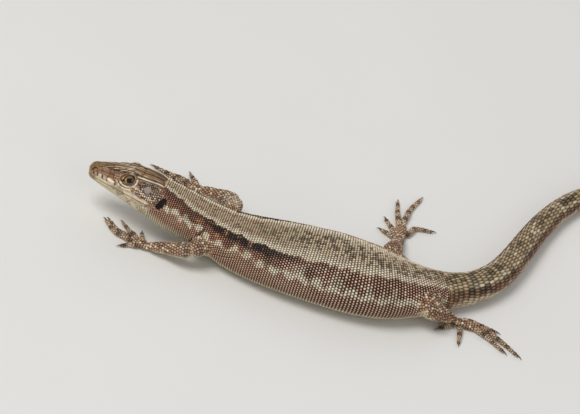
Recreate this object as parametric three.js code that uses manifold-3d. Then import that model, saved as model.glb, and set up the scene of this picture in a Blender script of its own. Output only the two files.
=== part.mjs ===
// Common wall lizard (Podarcis muralis), an adult resting with its belly on the floor.
// A still model at life size: millimetres, +Z up, nose towards -X, left side towards -Y.
// The origin is on the floor under the middle of the belly. Distances along the back
// are called stations: 0 at the origin, negative towards the nose, positive to the tail.

import * as THREE from 'three';
import { mergeVertices } from 'three/addons/utils/BufferGeometryUtils.js';
import Module from 'manifold-3d';

const wasm = await Module();
wasm.setup();

// ---------------------------------------------------------------- driving sizes

const NOSE = -38.2;
const VENT = 24.5;
const TAIL_LENGTH = 110;
const TAIL_TIP = VENT + TAIL_LENGTH;
const HEAD_END = -23.4;
const NECK_END = -16.6;
const TAIL_CUTS = [VENT, 46, 68, 90, 112, TAIL_TIP];

const CUT = 0.2; // width of the thin cut between neighbouring parts
const FLOOR_SINK = 0.1; // how deep a round underside is pressed flat on the floor

const MOUTH_HEIGHT = 6.75; // mouth line above the floor
const MOUTH_CORNER = -26.4; // station of the corner of the mouth
const HEAD_ROLL = 10; // the crown leans this many degrees to the right
const NOSE_ROUNDING = 0.9; // the nose closes over this distance
const NOSE_TIP_RISE = 0.95; // foremost point above the mouth line

// Eyes and eardrums: place on the head, size, and the gap left round them in the skull.
const EYE = { station: -31.1, out: 1.95, rise: 2.2, radius: 1.25, gap: 0.15 };
const EAR = {
  station: -24.8, out: 4.2, rise: 1.1, radii: [0.6, 0.6, 1.2], lean: 30, gap: 0.12, shrink: 0.08,
};

const BODY_SIDES = 24;
const TAIL_SIDES = 12;
const LIMB_SIDES = 10;
const DIGIT_SIDES = 6;

// Direction of the back in plan, degrees from +X, against station.
const HEADING = curve([
  [-40, -3], [-14, -2], [0, 0], [6, 3], [10, 9], [14, 17], [18, 26], [21, 32], [24, 35], [27, 38],
  [30, 45], [34, 58], [38, 68], [43, 76], [49, 78], [57, 72], [68, 56], [82, 36], [98, 20],
  [114, 12], [136, 8],
]);

// Neck, trunk and tail: half width, half height, and the belly's clearance of the floor.
const HALF_WIDTH = curve([
  [-28, 4.5], [-20, 4.45], [-17, 4.65], [-14, 5.0], [-12, 5.5], [-8, 6.35], [-4, 6.95], [0, 7.25],
  [6, 7.4], [11, 7.2], [14, 6.8], [16, 6.3], [18.5, 5.5], [21, 4.55], [24.5, 3.5], [28, 2.95],
  [35, 2.6], [46, 2.25], [68, 1.72], [90, 1.16], [112, 0.66], [134.5, 0.28],
]);
const HALF_HEIGHT = curve([
  [-28, 3.6], [-17, 3.5], [-14, 3.7], [-10, 3.93], [-4, 4.35], [0, 4.65], [6, 4.95], [12, 4.75],
  [16, 4.35], [20, 3.85], [24.5, 3.2], [28, 2.85], [35, 2.5], [46, 2.2], [68, 1.68], [90, 1.14],
  [112, 0.65], [134.5, 0.28],
]);
const CLEARANCE = curve([
  [-28, 2.9], [-24, 2.65], [-20, 1.95], [-16, 1.15], [-12, 0.2], [-10, 0.05], [-8, 0], [140, 0],
]);
const SQUARENESS = curve([[-28, 2.5], [-14, 2.35], [10, 2.3], [24, 2.1], [40, 2], [140, 2]]);

// Head, against the distance from the nose: half width at the lips, height of the crown over
// the mouth line, depth of the lower jaw under it, and half width of the flat crown.
const LIP_WIDTH = curve([[0, 1.25], [1.2, 1.5], [2.5, 1.95], [4.2, 2.5], [6, 3.0], [7.5, 3.4],
  [9.5, 3.95], [11.5, 4.3], [13.5, 4.4], [16, 4.4]]);
const CROWN_HEIGHT = curve([[0, 1.9], [1.2, 2.15], [2.5, 2.5], [4.2, 3.0], [6, 3.45], [7.5, 3.6],
  [9.5, 3.65], [13.5, 3.4], [16, 3.2]]);
const JAW_DEPTH = curve([[0, 0.6], [1.2, 0.8], [2.5, 1.15], [4.2, 1.5], [6, 1.85], [7.5, 2.2],
  [9.5, 2.7], [11.5, 3.1], [13.5, 3.4], [16, 3.7]]);
const CROWN_WIDTH = curve([[0, 0.8], [1.2, 0.95], [2.5, 1.25], [4.2, 1.55], [6, 2.0], [7.5, 2.2],
  [11.5, 2.35], [16, 2.5]]);

// Limbs. Joints are [x, y, z]; a radius is given at each end of every bone.
const FORE_LIMBS = {
  left: {
    shoulder: [-15.4, -2.4, 4.2], elbow: [-17.6, -6.3, 3.9], wrist: [-24.7, -5.0, 0.95],
    palm: { heading: 163, length: 2.7 },
    headings: [107, 140, 160, 162, 188], bends: [-6, -8, -26, -30, 24],
  },
  right: {
    shoulder: [-14.2, 2.6, 3.8], elbow: [-13.4, 10.5, 3.6], wrist: [-19.3, 14.0, 0.95],
    palm: { heading: 166, length: 2.7 },
    headings: [219, 193, 180, 171, 126], bends: [-8, -6, -4, -4, -4],
  },
};
const HIND_LIMBS = {
  left: {
    hip: [21.6, 4.0, 3.1], knee: [22.1, -1.3, 4.8], ankle: [27.0, 3.0, 1.0],
    palm: { heading: 5, length: 4.7 },
    headings: [228, 282, 336, 338, 5], bends: [-4, -4, -8, -9, -8],
  },
  right: {
    hip: [18.9, 6.0, 3.3], knee: [13.5, 11.0, 2.4], ankle: [14.3, 18.9, 1.0],
    palm: { heading: 97, length: 4.7 },
    headings: [149, 120, 104, 84, 68], bends: [10, 6, -4, -11, -50],
  },
};

// Digits one to five: length without the claw, and where each leaves the palm or sole,
// as a distance along it and across it towards the fifth digit.
const HAND = {
  lengths: [2.1, 4.5, 5.9, 6.5, 2.8],
  knuckles: [[1.6, -1.0], [2.3, -0.65], [2.85, -0.05], [2.75, 0.6], [1.5, 1.0]],
  radii: [0.42, 0.3],
  halfWidth: 1.05,
};
const FOOT = {
  lengths: [3.0, 4.0, 6.3, 8.2, 5.9],
  knuckles: [[0.1, -0.75], [1.2, -0.95], [3.9, -0.5], [4.75, 0.25], [1.5, 0.95]],
  radii: [0.46, 0.3],
  halfWidth: 0.95,
};
const CLAW_LENGTH = 0.9;
const CLAW_RADIUS = 0.17;
const DIGIT_GAP = 0.08; // between digits that share a knuckle

// Centre line of a digit above the height it rests at: at the knuckle, half way and at the tip.
const DIGIT_ARCH = { knuckle: 0.16, crest: 0.3, middle: 0.12, tip: -0.02, clawTip: 0.2 };

// Palm or sole: its centre heights, its first radius, and how flat it is.
const PALM = { drop: 0.15, middle: 0.62, end: 0.52, radius: 0.8, taper: 0.85, flatten: 0.58 };

const FORE_RADII = { root: 1.65, joint: 1.45, belly: 1.35, end: 0.78 };
const HIND_RADII = { root: 2.3, joint: 2.0, belly: 1.7, end: 0.85 };
const DOME_START = 0.12; // how full a limb already is at its very end

const COLOUR = {
  head: '#8a7558', jaw: '#d8cdb4', neck: '#7d6a52', trunk: '#7a6750', tail: '#75624b',
  foreLimb: '#8b7357', hindLimb: '#85705a', digit: '#a58f70', eye: '#1b1510', ear: '#2a2019',
};

// ---------------------------------------------------------------- small tools

// A smooth curve through points, which never overshoots them (monotone cubic pieces).
function curve(points) {
  const slope = points.slice(1).map((p, i) => (p[1] - points[i][1]) / (p[0] - points[i][0]));
  const tangent = points.map((p, i) => {
    if (i === 0) return slope[0];
    if (i === points.length - 1) return slope[i - 1];
    if (slope[i - 1] * slope[i] <= 0) return 0;
    const before = p[0] - points[i - 1][0];
    const after = points[i + 1][0] - p[0];
    const first = 2 * after + before;
    const second = after + 2 * before;
    return (first + second) / (first / slope[i - 1] + second / slope[i]);
  });
  return (x) => {
    const q = THREE.MathUtils.clamp(x, points[0][0], points[points.length - 1][0]);
    let i = 0;
    while (i < points.length - 2 && q > points[i + 1][0]) i += 1;
    const step = points[i + 1][0] - points[i][0];
    const t = (q - points[i][0]) / step;
    const rise = t * t * (3 - 2 * t);
    const leave = t * (1 - t) * (1 - t) * step * tangent[i];
    const arrive = t * t * (t - 1) * step * tangent[i + 1];
    return points[i][1] + rise * (points[i + 1][1] - points[i][1]) + leave + arrive;
  };
}

const mix = THREE.MathUtils.lerp;
const smooth = THREE.MathUtils.smoothstep;
const radians = THREE.MathUtils.degToRad;

function plain(geometry) {
  geometry.deleteAttribute('uv');
  geometry.deleteAttribute('normal');
  return mergeVertices(geometry, 1e-5);
}

function solid(geometry) {
  const merged = plain(geometry);
  const mesh = new wasm.Mesh({
    numProp: 3,
    vertProperties: new Float32Array(merged.attributes.position.array),
    triVerts: new Uint32Array(merged.index.array),
  });
  return new wasm.Manifold(mesh);
}

// The biggest body of a solid, as a geometry: slivers that a cut leaves are dropped.
function geometryOf(body) {
  const bodies = body.decompose().sort((a, b) => b.volume() - a.volume());
  const mesh = bodies[0].getMesh();
  const geometry = new THREE.BufferGeometry();
  geometry.setAttribute('position', new THREE.BufferAttribute(mesh.vertProperties, 3));
  geometry.setIndex(new THREE.BufferAttribute(mesh.triVerts, 1));
  const faceted = geometry.toNonIndexed();
  faceted.computeVertexNormals();
  return faceted;
}

const closed = (geometry) => geometryOf(solid(geometry));

// A unit cylinder carried onto a surface: along runs 0..1, around is in turns, out is 0..1.
// It stands on one of its flat sides, and nothing goes below the floor.
function warpedCylinder(sides, rows, place) {
  const geometry = new THREE.CylinderGeometry(1, 1, 1, sides, rows);
  const position = geometry.attributes.position;
  for (let i = 0; i < position.count; i += 1) {
    const along = position.getY(i) + 0.5;
    const out = Math.hypot(position.getX(i), position.getZ(i));
    const turn = Math.atan2(position.getX(i), position.getZ(i)) / (2 * Math.PI);
    const around = turn + 0.5 / sides;
    const point = place(along, around, Math.min(1, out));
    position.setXYZ(i, point.x, point.y, Math.max(0, point.z));
  }
  return geometry;
}

// ---------------------------------------------------------------- body surface

// Plan position of the back, worked out from its direction by short steps.
const STEP = 0.1;
const spine = { ahead: [[0, 0]], behind: [[0, 0]] };
for (const [side, sign, length] of [['ahead', 1, TAIL_TIP + 1], ['behind', -1, 2 - NOSE]]) {
  const track = spine[side];
  for (let travelled = 0; travelled < length; travelled += STEP) {
    const angle = radians(HEADING(sign * (travelled + STEP / 2)));
    const [x, y] = track[track.length - 1];
    track.push([x + sign * STEP * Math.cos(angle), y + sign * STEP * Math.sin(angle)]);
  }
}

function spinePoint(station) {
  const track = station < 0 ? spine.behind : spine.ahead;
  const place = Math.abs(station) / STEP;
  const i = Math.min(Math.floor(place), track.length - 2);
  return [0, 1].map((axis) => mix(track[i][axis], track[i + 1][axis], place - i));
}

// Seven points of the half outline, top to bottom, as [out, height above the floor].
function trunkOutline(station, spare) {
  const wide = HALF_WIDTH(station) + spare;
  const high = HALF_HEIGHT(station) + spare;
  const middle = HALF_HEIGHT(station) - FLOOR_SINK + CLEARANCE(station);
  const power = 2 / SQUARENESS(station);
  return [0, 1, 2, 3, 4, 5, 6].map((k) => {
    const angle = Math.PI / 2 - (k * Math.PI) / 6;
    const out = Math.max(0, Math.cos(angle)) ** power;
    const up = Math.sign(Math.sin(angle)) * Math.abs(Math.sin(angle)) ** power;
    return [wide * out, middle + high * up];
  });
}

function headOutline(station, spare) {
  const back = Math.max(0, station - NOSE);
  const lips = LIP_WIDTH(back);
  const crown = CROWN_HEIGHT(back);
  const jaw = JAW_DEPTH(back);
  const flat = CROWN_WIDTH(back);
  const rounding = Math.sqrt(1 - (1 - Math.min(1, back / NOSE_ROUNDING + 0.02)) ** 2);
  const outline = [
    [0, crown], [flat, 0.95 * crown], [mix(flat, lips, 0.62), 0.58 * crown], [lips, 0.15 * crown],
    [0.965 * lips, -0.2 * jaw], [0.7 * lips, -0.85 * jaw], [0, -jaw],
  ];
  return outline.map(([out, rise]) => {
    const grown = 1 + spare / 3.5;
    const height = NOSE_TIP_RISE + (rise - NOSE_TIP_RISE) * rounding * grown;
    return [out * rounding * grown, MOUTH_HEIGHT + height];
  });
}

const headShare = (station) => 1 - smooth(station, -27.2, -23.0);
const rollAt = (station) => HEAD_ROLL * (1 - smooth(station, -27, -13));

// A point of the closed outline; around is in turns from the top towards the right side.
function outlinePoint(station, around, spare) {
  const share = headShare(station);
  const trunk = trunkOutline(station, spare);
  const head = headOutline(station, spare);
  const half = trunk.map((p, k) => [mix(p[0], head[k][0], share), mix(p[1], head[k][1], share)]);
  const knot = (k) => {
    const turn = ((k % 12) + 12) % 12;
    return turn <= 6 ? half[turn] : [-half[12 - turn][0], half[12 - turn][1]];
  };
  const place = (((around % 1) + 1) % 1) * 12;
  const k = Math.floor(place);
  const t = place - k;
  return [0, 1].map((axis) => {
    const [a, b, c, d] = [k - 1, k, k + 1, k + 2].map((n) => knot(n)[axis]);
    const curved = (2 * a - 5 * b + 4 * c - d) * t * t + (3 * b - a - 3 * c + d) * t * t * t;
    return 0.5 * (2 * b + (c - a) * t + curved);
  });
}

function pivotHeight(station) {
  const neck = HALF_HEIGHT(station) + CLEARANCE(station) - FLOOR_SINK;
  return mix(neck, MOUTH_HEIGHT, headShare(station));
}

// From a station's own cross plane (out to the right, height) to a place in the model.
function fromPlane(station, out, height) {
  const [x, y] = spinePoint(station);
  const heading = radians(HEADING(station));
  const roll = radians(rollAt(station));
  const rise = height - pivotHeight(station);
  const across = out * Math.cos(roll) + rise * Math.sin(roll);
  const up = pivotHeight(station) - out * Math.sin(roll) + rise * Math.cos(roll);
  return new THREE.Vector3(x - across * Math.sin(heading), y + across * Math.cos(heading), up);
}

// The length of body between two stations, grown all round by spare. Rows crowd at the nose.
const CROWDING = 1.5;
function bodyLength(from, to, sides, rows, spare = 0) {
  return warpedCylinder(sides, rows, (along, around, out) => {
    const station = mix(from, to, from === NOSE ? along ** CROWDING : along);
    const [side, height] = outlinePoint(station, -around, spare);
    const middle = station === NOSE ? MOUTH_HEIGHT + NOSE_TIP_RISE : pivotHeight(station);
    return fromPlane(station, side * out, mix(middle, height, out));
  });
}

// ---------------------------------------------------------------- limbs

// A round limb along points, with a radius at each, its ends rounded off and grown by spare.
function limb(points, radii, { sides = LIMB_SIDES, rows = 7, flatten = 1, spare = 0 } = {}) {
  const path = new THREE.CatmullRomCurve3(points.map((p) => new THREE.Vector3(...p)));
  const length = path.getLength();
  const radiusAt = (t) => {
    const place = t * (radii.length - 1);
    const i = Math.min(Math.floor(place), radii.length - 2);
    return mix(radii[i], radii[i + 1], smooth(place - i, 0, 1) * 0.5 + (place - i) * 0.5);
  };
  const upright = new THREE.Vector3(0, 0, 1);
  return warpedCylinder(sides, rows, (along, around, out) => {
    const t = THREE.MathUtils.clamp(0.5 - 0.5 * Math.cos(Math.PI * along), 0, 1);
    const centre = path.getPointAt(t);
    const tangent = path.getTangentAt(t);
    const across = new THREE.Vector3().crossVectors(upright, tangent).normalize();
    const up = new THREE.Vector3().crossVectors(tangent, across);
    const fromEnd = Math.min(t, 1 - t) * length;
    const radius = radiusAt(t);
    const dome = Math.sqrt(1 - (1 - Math.min(1, fromEnd / radius + DOME_START)) ** 2);
    const reach = (radius * dome + spare) * out;
    const angle = around * 2 * Math.PI;
    centre.addScaledVector(across, -Math.sin(angle) * reach);
    return centre.addScaledVector(up, Math.cos(angle) * reach * flatten);
  });
}

const named = new Map();

function addPart(name, geometry, colour, roughness = 0.6) {
  const material = new THREE.MeshStandardMaterial({ color: colour, roughness, metalness: 0 });
  const mesh = new THREE.Mesh(geometry, material);
  mesh.name = name;
  named.set(name, mesh);
}

const along2 = (heading, distance) => [
  distance * Math.cos(radians(heading)), distance * Math.sin(radians(heading)),
];

// A digit with its claw: it runs flat on the floor, bends half way and ends in a low hook.
function digitPoints(start, heading, bend, length, rest) {
  const [ax, ay] = along2(heading, 0.5 * length);
  const [bx, by] = along2(heading + bend, 0.5 * length);
  const [cx, cy] = along2(heading + bend, CLAW_LENGTH);
  const [x, y] = start;
  return [
    [x, y, rest + DIGIT_ARCH.knuckle],
    [x + 0.5 * ax, y + 0.5 * ay, rest + DIGIT_ARCH.crest],
    [x + ax, y + ay, rest + DIGIT_ARCH.middle],
    [x + ax + bx, y + ay + by, rest + DIGIT_ARCH.tip],
    [x + ax + bx + cx, y + ay + by + cy, DIGIT_ARCH.clawTip],
  ];
}

// Hand or foot: a low flat palm or sole, and five digits cut free of it.
function buildPaw(prefix, names, kind, wrist, limbSpec, outer, upper) {
  const { palm, headings, bends } = limbSpec;
  const [px, py] = along2(palm.heading, palm.length);
  const palmPoints = [
    [wrist[0], wrist[1], wrist[2] - PALM.drop],
    [wrist[0] + 0.5 * px, wrist[1] + 0.5 * py, PALM.middle],
    [wrist[0] + px, wrist[1] + py, PALM.end],
  ];
  const width = kind.halfWidth;
  const palmRadii = [PALM.radius, width, PALM.taper * width];
  const palmShape = { flatten: PALM.flatten, rows: 5 };
  const palmSolid = solid(limb(palmPoints, palmRadii, palmShape)).subtract(upper);
  addPart(`${prefix}_${names.palm}`, geometryOf(palmSolid), COLOUR.digit);
  const keepOff = solid(limb(palmPoints, palmRadii, { ...palmShape, spare: CUT })).add(upper);
  let taken = keepOff;
  kind.lengths.forEach((length, i) => {
    const [forward, across] = kind.knuckles[i];
    const [fx, fy] = along2(palm.heading, forward);
    const [sx, sy] = along2(palm.heading + outer * 90, across);
    const start = [wrist[0] + fx + sx, wrist[1] + fy + sy];
    const rest = kind.radii[0] - FLOOR_SINK;
    const points = digitPoints(start, headings[i], bends[i], length, rest);
    const [thick, thin] = kind.radii;
    const radii = [thick, thick, mix(thick, thin, 0.5), thin, CLAW_RADIUS];
    const shape = { sides: DIGIT_SIDES, rows: 7 };
    const free = solid(limb(points, radii, shape)).subtract(taken);
    addPart(`${prefix}_${names.digit}_${i + 1}`, geometryOf(free), COLOUR.digit);
    taken = taken.add(solid(limb(points, radii, { ...shape, spare: DIGIT_GAP })));
  });
}

function buildLimb(side, names, joints, radii, kind, limbSpec, colour, bodyRoom) {
  const outer = side === 'left' ? 1 : -1;
  const [root, middle, end] = joints;
  const upperRadii = [radii.root, mix(radii.root, radii.joint, 0.4), radii.joint];
  const lowerRadii = [radii.joint * 0.93, radii.belly, mix(radii.belly, radii.end, 0.6), radii.end];
  const between = (a, b, t) => a.map((value, axis) => mix(value, b[axis], t));
  const upperPoints = [root, between(root, middle, 0.5), middle];
  const lowerPoints = [middle, between(middle, end, 0.33), between(middle, end, 0.7), end];
  const upper = solid(limb(upperPoints, upperRadii)).subtract(bodyRoom);
  const upperRoom = solid(limb(upperPoints, upperRadii, { spare: CUT })).add(bodyRoom);
  const lower = solid(limb(lowerPoints, lowerRadii)).subtract(upperRoom);
  const lowerRoom = solid(limb(lowerPoints, lowerRadii, { spare: CUT }));
  addPart(`${side}_${names.upper}`, geometryOf(upper), colour);
  addPart(`${side}_${names.lower}`, geometryOf(lower), colour);
  buildPaw(side, names, kind, end, limbSpec, outer, lowerRoom);
}

// ---------------------------------------------------------------- head

function buildHead() {
  const whole = solid(bodyLength(NOSE, HEAD_END - CUT / 2, BODY_SIDES, 15));
  const reach = 30; // wider than the head
  const slab = (low, high) => {
    const box = new THREE.BoxGeometry(reach, reach, high - low);
    box.translate(MOUTH_CORNER - reach / 2, 0, (low + high) / 2);
    const lean = new THREE.Matrix4().makeTranslation(0, spinePoint(MOUTH_CORNER)[1], MOUTH_HEIGHT);
    lean.multiply(new THREE.Matrix4().makeRotationX(-radians(HEAD_ROLL)));
    return solid(box.applyMatrix4(lean));
  };
  let skull = whole.subtract(slab(-reach, CUT / 2));
  const hinge = new THREE.BoxGeometry(2 * CUT, reach, reach).translate(MOUTH_CORNER, 0, MOUTH_HEIGHT);
  const jaw = whole.intersect(slab(-reach, -CUT / 2)).subtract(solid(hinge));
  for (const [side, sign] of [['left', -1], ['right', 1]]) {
    const eyeAt = fromPlane(EYE.station, sign * EYE.out, MOUTH_HEIGHT + EYE.rise);
    const ball = (radius) => new THREE.SphereGeometry(radius, 12, 9).translate(...eyeAt);
    skull = skull.subtract(solid(ball(EYE.radius + EYE.gap)));
    addPart(`eye_${side}`, closed(ball(EYE.radius)), COLOUR.eye, 0.1);

    const earAt = fromPlane(EAR.station, sign * EAR.out, MOUTH_HEIGHT + EAR.rise);
    const drum = (grow, shift) => {
      const bulge = new THREE.SphereGeometry(1, 10, 7);
      bulge.scale(...EAR.radii.map((radius) => radius + grow));
      bulge.rotateY(radians(EAR.lean));
      return bulge.translate(earAt.x, earAt.y - sign * shift, earAt.z);
    };
    skull = skull.subtract(solid(drum(EAR.gap, 0)));
    addPart(`eardrum_${side}`, closed(drum(-EAR.shrink, EAR.gap)), COLOUR.ear, 0.5);
  }
  addPart('head', geometryOf(skull), COLOUR.head);
  addPart('lower_jaw', geometryOf(jaw), COLOUR.jaw);
}

// ---------------------------------------------------------------- the whole animal

buildHead();
const half = CUT / 2;
addPart('neck', closed(bodyLength(HEAD_END + half, NECK_END - half, BODY_SIDES, 5)), COLOUR.neck);
addPart('trunk', closed(bodyLength(NECK_END + half, VENT - half, BODY_SIDES, 22)), COLOUR.trunk);
const TAIL_NAMES = ['tail_base', 'tail_front', 'tail_middle', 'tail_rear', 'tail_tip'];
TAIL_NAMES.forEach((name, i) => {
  const end = TAIL_CUTS[i + 1] - (i < TAIL_NAMES.length - 1 ? half : 0);
  const length = bodyLength(TAIL_CUTS[i] + half, end, i === 0 ? TAIL_SIDES + 4 : TAIL_SIDES, 9);
  addPart(name, closed(length), COLOUR.tail);
});

const LIMB_REACH = { from: -28, to: 40, rows: 34 }; // the length of body that limbs are cut by
const bodyRoom = solid(
  bodyLength(LIMB_REACH.from, LIMB_REACH.to, BODY_SIDES, LIMB_REACH.rows, CUT),
);
for (const side of ['left', 'right']) {
  const fore = FORE_LIMBS[side];
  buildLimb(
    side, { upper: 'upper_arm', lower: 'forearm', palm: 'hand', digit: 'finger' },
    [fore.shoulder, fore.elbow, fore.wrist], FORE_RADII, HAND, fore, COLOUR.foreLimb, bodyRoom,
  );
  const hind = HIND_LIMBS[side];
  buildLimb(
    side, { upper: 'thigh', lower: 'shank', palm: 'foot', digit: 'toe' },
    [hind.hip, hind.knee, hind.ankle], HIND_RADII, FOOT, hind, COLOUR.hindLimb, bodyRoom,
  );
}

const lizard = new THREE.Group();
lizard.add(...named.values());

export default lizard;
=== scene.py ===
"""Looks of the common wall lizard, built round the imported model.

Everything is worked out in millimetres on the model's own frame and written in metres:
+Z is up, the nose points to -X and the left side to -Y.  A station is a distance along
the back: 0 over the middle of the belly, negative towards the nose.  An angle goes round
the body from the top of the back, positive to the right.
"""

from __future__ import annotations

import logging
import math
from dataclasses import dataclass, field
from enum import Enum
from functools import cached_property
from typing import Sequence

import bpy
import numpy as np
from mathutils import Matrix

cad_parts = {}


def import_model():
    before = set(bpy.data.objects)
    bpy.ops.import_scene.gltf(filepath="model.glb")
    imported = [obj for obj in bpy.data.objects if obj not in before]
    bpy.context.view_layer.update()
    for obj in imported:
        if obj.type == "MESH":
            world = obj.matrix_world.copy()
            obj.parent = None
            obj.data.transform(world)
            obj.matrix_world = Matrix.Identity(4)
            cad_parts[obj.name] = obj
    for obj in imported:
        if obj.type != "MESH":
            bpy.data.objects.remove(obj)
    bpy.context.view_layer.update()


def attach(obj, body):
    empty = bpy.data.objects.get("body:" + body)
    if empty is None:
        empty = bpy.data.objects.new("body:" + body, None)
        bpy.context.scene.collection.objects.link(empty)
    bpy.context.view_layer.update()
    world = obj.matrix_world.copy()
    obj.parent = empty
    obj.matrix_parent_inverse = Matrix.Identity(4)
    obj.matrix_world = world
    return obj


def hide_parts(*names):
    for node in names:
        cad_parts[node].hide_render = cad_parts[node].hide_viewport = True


MM = 0.001
BODY = "root"
LOG = logging.getLogger("wall_lizard")
Array = np.ndarray

# ---------------------------------------------------------------- driving sizes, as in the part

NOSE = -38.2
VENT = 24.5
TAIL_TIP = 134.5
HEAD_END = -23.4
MOUTH_HEIGHT = 6.75
MOUTH_CORNER = -26.4
HEAD_ROLL = 10.0
NOSE_ROUNDING = 0.9
NOSE_TIP_RISE = 0.95
FLOOR_SINK = 0.1
CLAW_LENGTH = 0.9
EYE_STATION, EYE_OUT, EYE_RISE = -30.95, 1.93, 2.36
EAR_STATION, EAR_SHARE = -24.8, 0.38  # middle of the ear opening
EAR_GIRTH = 13.0  # millimetres round the head there for one whole share
EAR_LEAN = (0.92, 0.39)  # cosine and sine of its lean
EAR_SIZE = (1.42, 0.47)  # half length and half width


@dataclass(frozen=True)
class Curve:
    """A smooth curve through knots that never overshoots them (monotone cubic pieces)."""

    knots: tuple[tuple[float, float], ...]

    @cached_property
    def parts(self) -> tuple[Array, Array, Array]:
        """The knots' places, their values and the slope of the curve at each.

        An inner slope is the weighted harmonic mean of its two neighbours, or 0 at a turn.

        Returns:
            Places, values and slopes.
        """
        x, y = np.array(self.knots, float).T
        step = np.diff(x)
        slope = np.diff(y) / step
        tangent = np.concatenate([slope[:1], np.zeros(len(x) - 2), slope[-1:]])
        first, second = 2 * step[1:] + step[:-1], step[1:] + 2 * step[:-1]
        same = slope[:-1] * slope[1:] > 0
        low, high = np.where(same, slope[:-1], 1), np.where(same, slope[1:], 1)
        tangent[1:-1] = np.where(same, (first + second) / (first / low + second / high), 0)
        return x, y, tangent

    def __call__(self, place: Array | float) -> Array:
        """The curve's value at each place, held constant past the last knots.

        Args:
            place: where the curve is read.

        Returns:
            Its value there.
        """
        x, y, tangent = self.parts
        q = np.clip(np.asarray(place, float), x[0], x[-1])
        i = np.clip(np.searchsorted(x, q, side="right") - 1, 0, len(x) - 2)
        step = x[i + 1] - x[i]
        t = (q - x[i]) / step
        rise = t * t * (3 - 2 * t)
        leave = t * (1 - t) ** 2 * step * tangent[i]
        arrive = t * t * (t - 1) * step * tangent[i + 1]
        return y[i] + rise * (y[i + 1] - y[i]) + leave + arrive


HEADING = Curve((
    (-40, -3), (-14, -2), (0, 0), (6, 3), (10, 9), (14, 17), (18, 26), (21, 32), (24, 35), (27, 38),
    (30, 45), (34, 58), (38, 68), (43, 76), (49, 78), (57, 72), (68, 56), (82, 36), (98, 20),
    (114, 12), (136, 8),
))
HALF_WIDTH = Curve((
    (-28, 4.5), (-20, 4.45), (-17, 4.65), (-14, 5.0), (-12, 5.5), (-8, 6.35), (-4, 6.95), (0, 7.25),
    (6, 7.4), (11, 7.2), (14, 6.8), (16, 6.3), (18.5, 5.5), (21, 4.55), (24.5, 3.5), (28, 2.95),
    (35, 2.6), (46, 2.25), (68, 1.72), (90, 1.16), (112, 0.66), (134.5, 0.28),
))
HALF_HEIGHT = Curve((
    (-28, 3.6), (-17, 3.5), (-14, 3.7), (-10, 3.93), (-4, 4.35), (0, 4.65), (6, 4.95), (12, 4.75),
    (16, 4.35), (20, 3.85), (24.5, 3.2), (28, 2.85), (35, 2.5), (46, 2.2), (68, 1.68), (90, 1.14),
    (112, 0.65), (134.5, 0.28),
))
CLEARANCE = Curve((
    (-28, 2.9), (-24, 2.65), (-20, 1.95), (-16, 1.15), (-12, 0.2), (-10, 0.05), (-8, 0), (140, 0),
))
SQUARENESS = Curve(((-28, 2.5), (-14, 2.35), (10, 2.3), (24, 2.1), (40, 2), (140, 2)))
LIP_WIDTH = Curve((
    (0, 1.25), (1.2, 1.5), (2.5, 1.95), (4.2, 2.5), (6, 3.0), (7.5, 3.4), (9.5, 3.95), (11.5, 4.3),
    (13.5, 4.4), (16, 4.4),
))
CROWN_HEIGHT = Curve((
    (0, 1.9), (1.2, 2.15), (2.5, 2.5), (4.2, 3.0), (6, 3.45), (7.5, 3.6), (9.5, 3.65), (13.5, 3.4),
    (16, 3.2),
))
JAW_DEPTH = Curve((
    (0, 0.6), (1.2, 0.8), (2.5, 1.15), (4.2, 1.5), (6, 1.85), (7.5, 2.2), (9.5, 2.7), (11.5, 3.1),
    (13.5, 3.4), (16, 3.7),
))
CROWN_WIDTH = Curve((
    (0, 0.8), (1.2, 0.95), (2.5, 1.25), (4.2, 1.55), (6, 2.0), (7.5, 2.2), (11.5, 2.35), (16, 2.5),
))

# ---------------------------------------------------------------- small tools


def smooth(value: Array | float, low: Array | float, high: Array | float) -> Array:
    """A soft step from 0 at low to 1 at high: 3t^2 - 2t^3 of the share t of the way."""
    t = np.clip((np.asarray(value, float) - low) / (high - low), 0, 1)
    return t * t * (3 - 2 * t)


def fall(value: Array | float, low: Array | float, high: Array | float) -> Array:
    """A soft step from 1 at low to 0 at high."""
    return 1 - smooth(value, low, high)


def mix(a: Array | float, b: Array | float, share: Array | float) -> Array:
    """The value a share of the way from a to b."""
    return a + (b - a) * share


def on_floor(height: Array, low: float = 0.01, soft: float = 0.04) -> Array:
    """Heights pressed up to stay over the floor in their order: an exponential under low + soft."""
    top = low + soft
    return np.where(height < top, low + soft * np.exp(np.minimum(height - top, 0) / soft), height)


def unit(vectors: Array) -> Array:
    """The vectors, each brought to length 1."""
    return vectors / np.maximum(np.linalg.norm(vectors, axis=-1, keepdims=True), 1e-9)


def ring_grid(along: Array, sides: int) -> tuple[Array, Array]:
    """A grid of rings: each ring's number from along, and angles that go once round it."""
    around = np.linspace(0, 2 * np.pi, sides, endpoint=False)
    return tuple(np.meshgrid(along, around, indexing="ij"))


def head_share(station: Array) -> Array:
    """How far a station takes the head's outline: 1 on the head, 0 from the neck on."""
    return fall(station, -27.2, -23.0)


# ---------------------------------------------------------------- body surface


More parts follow.
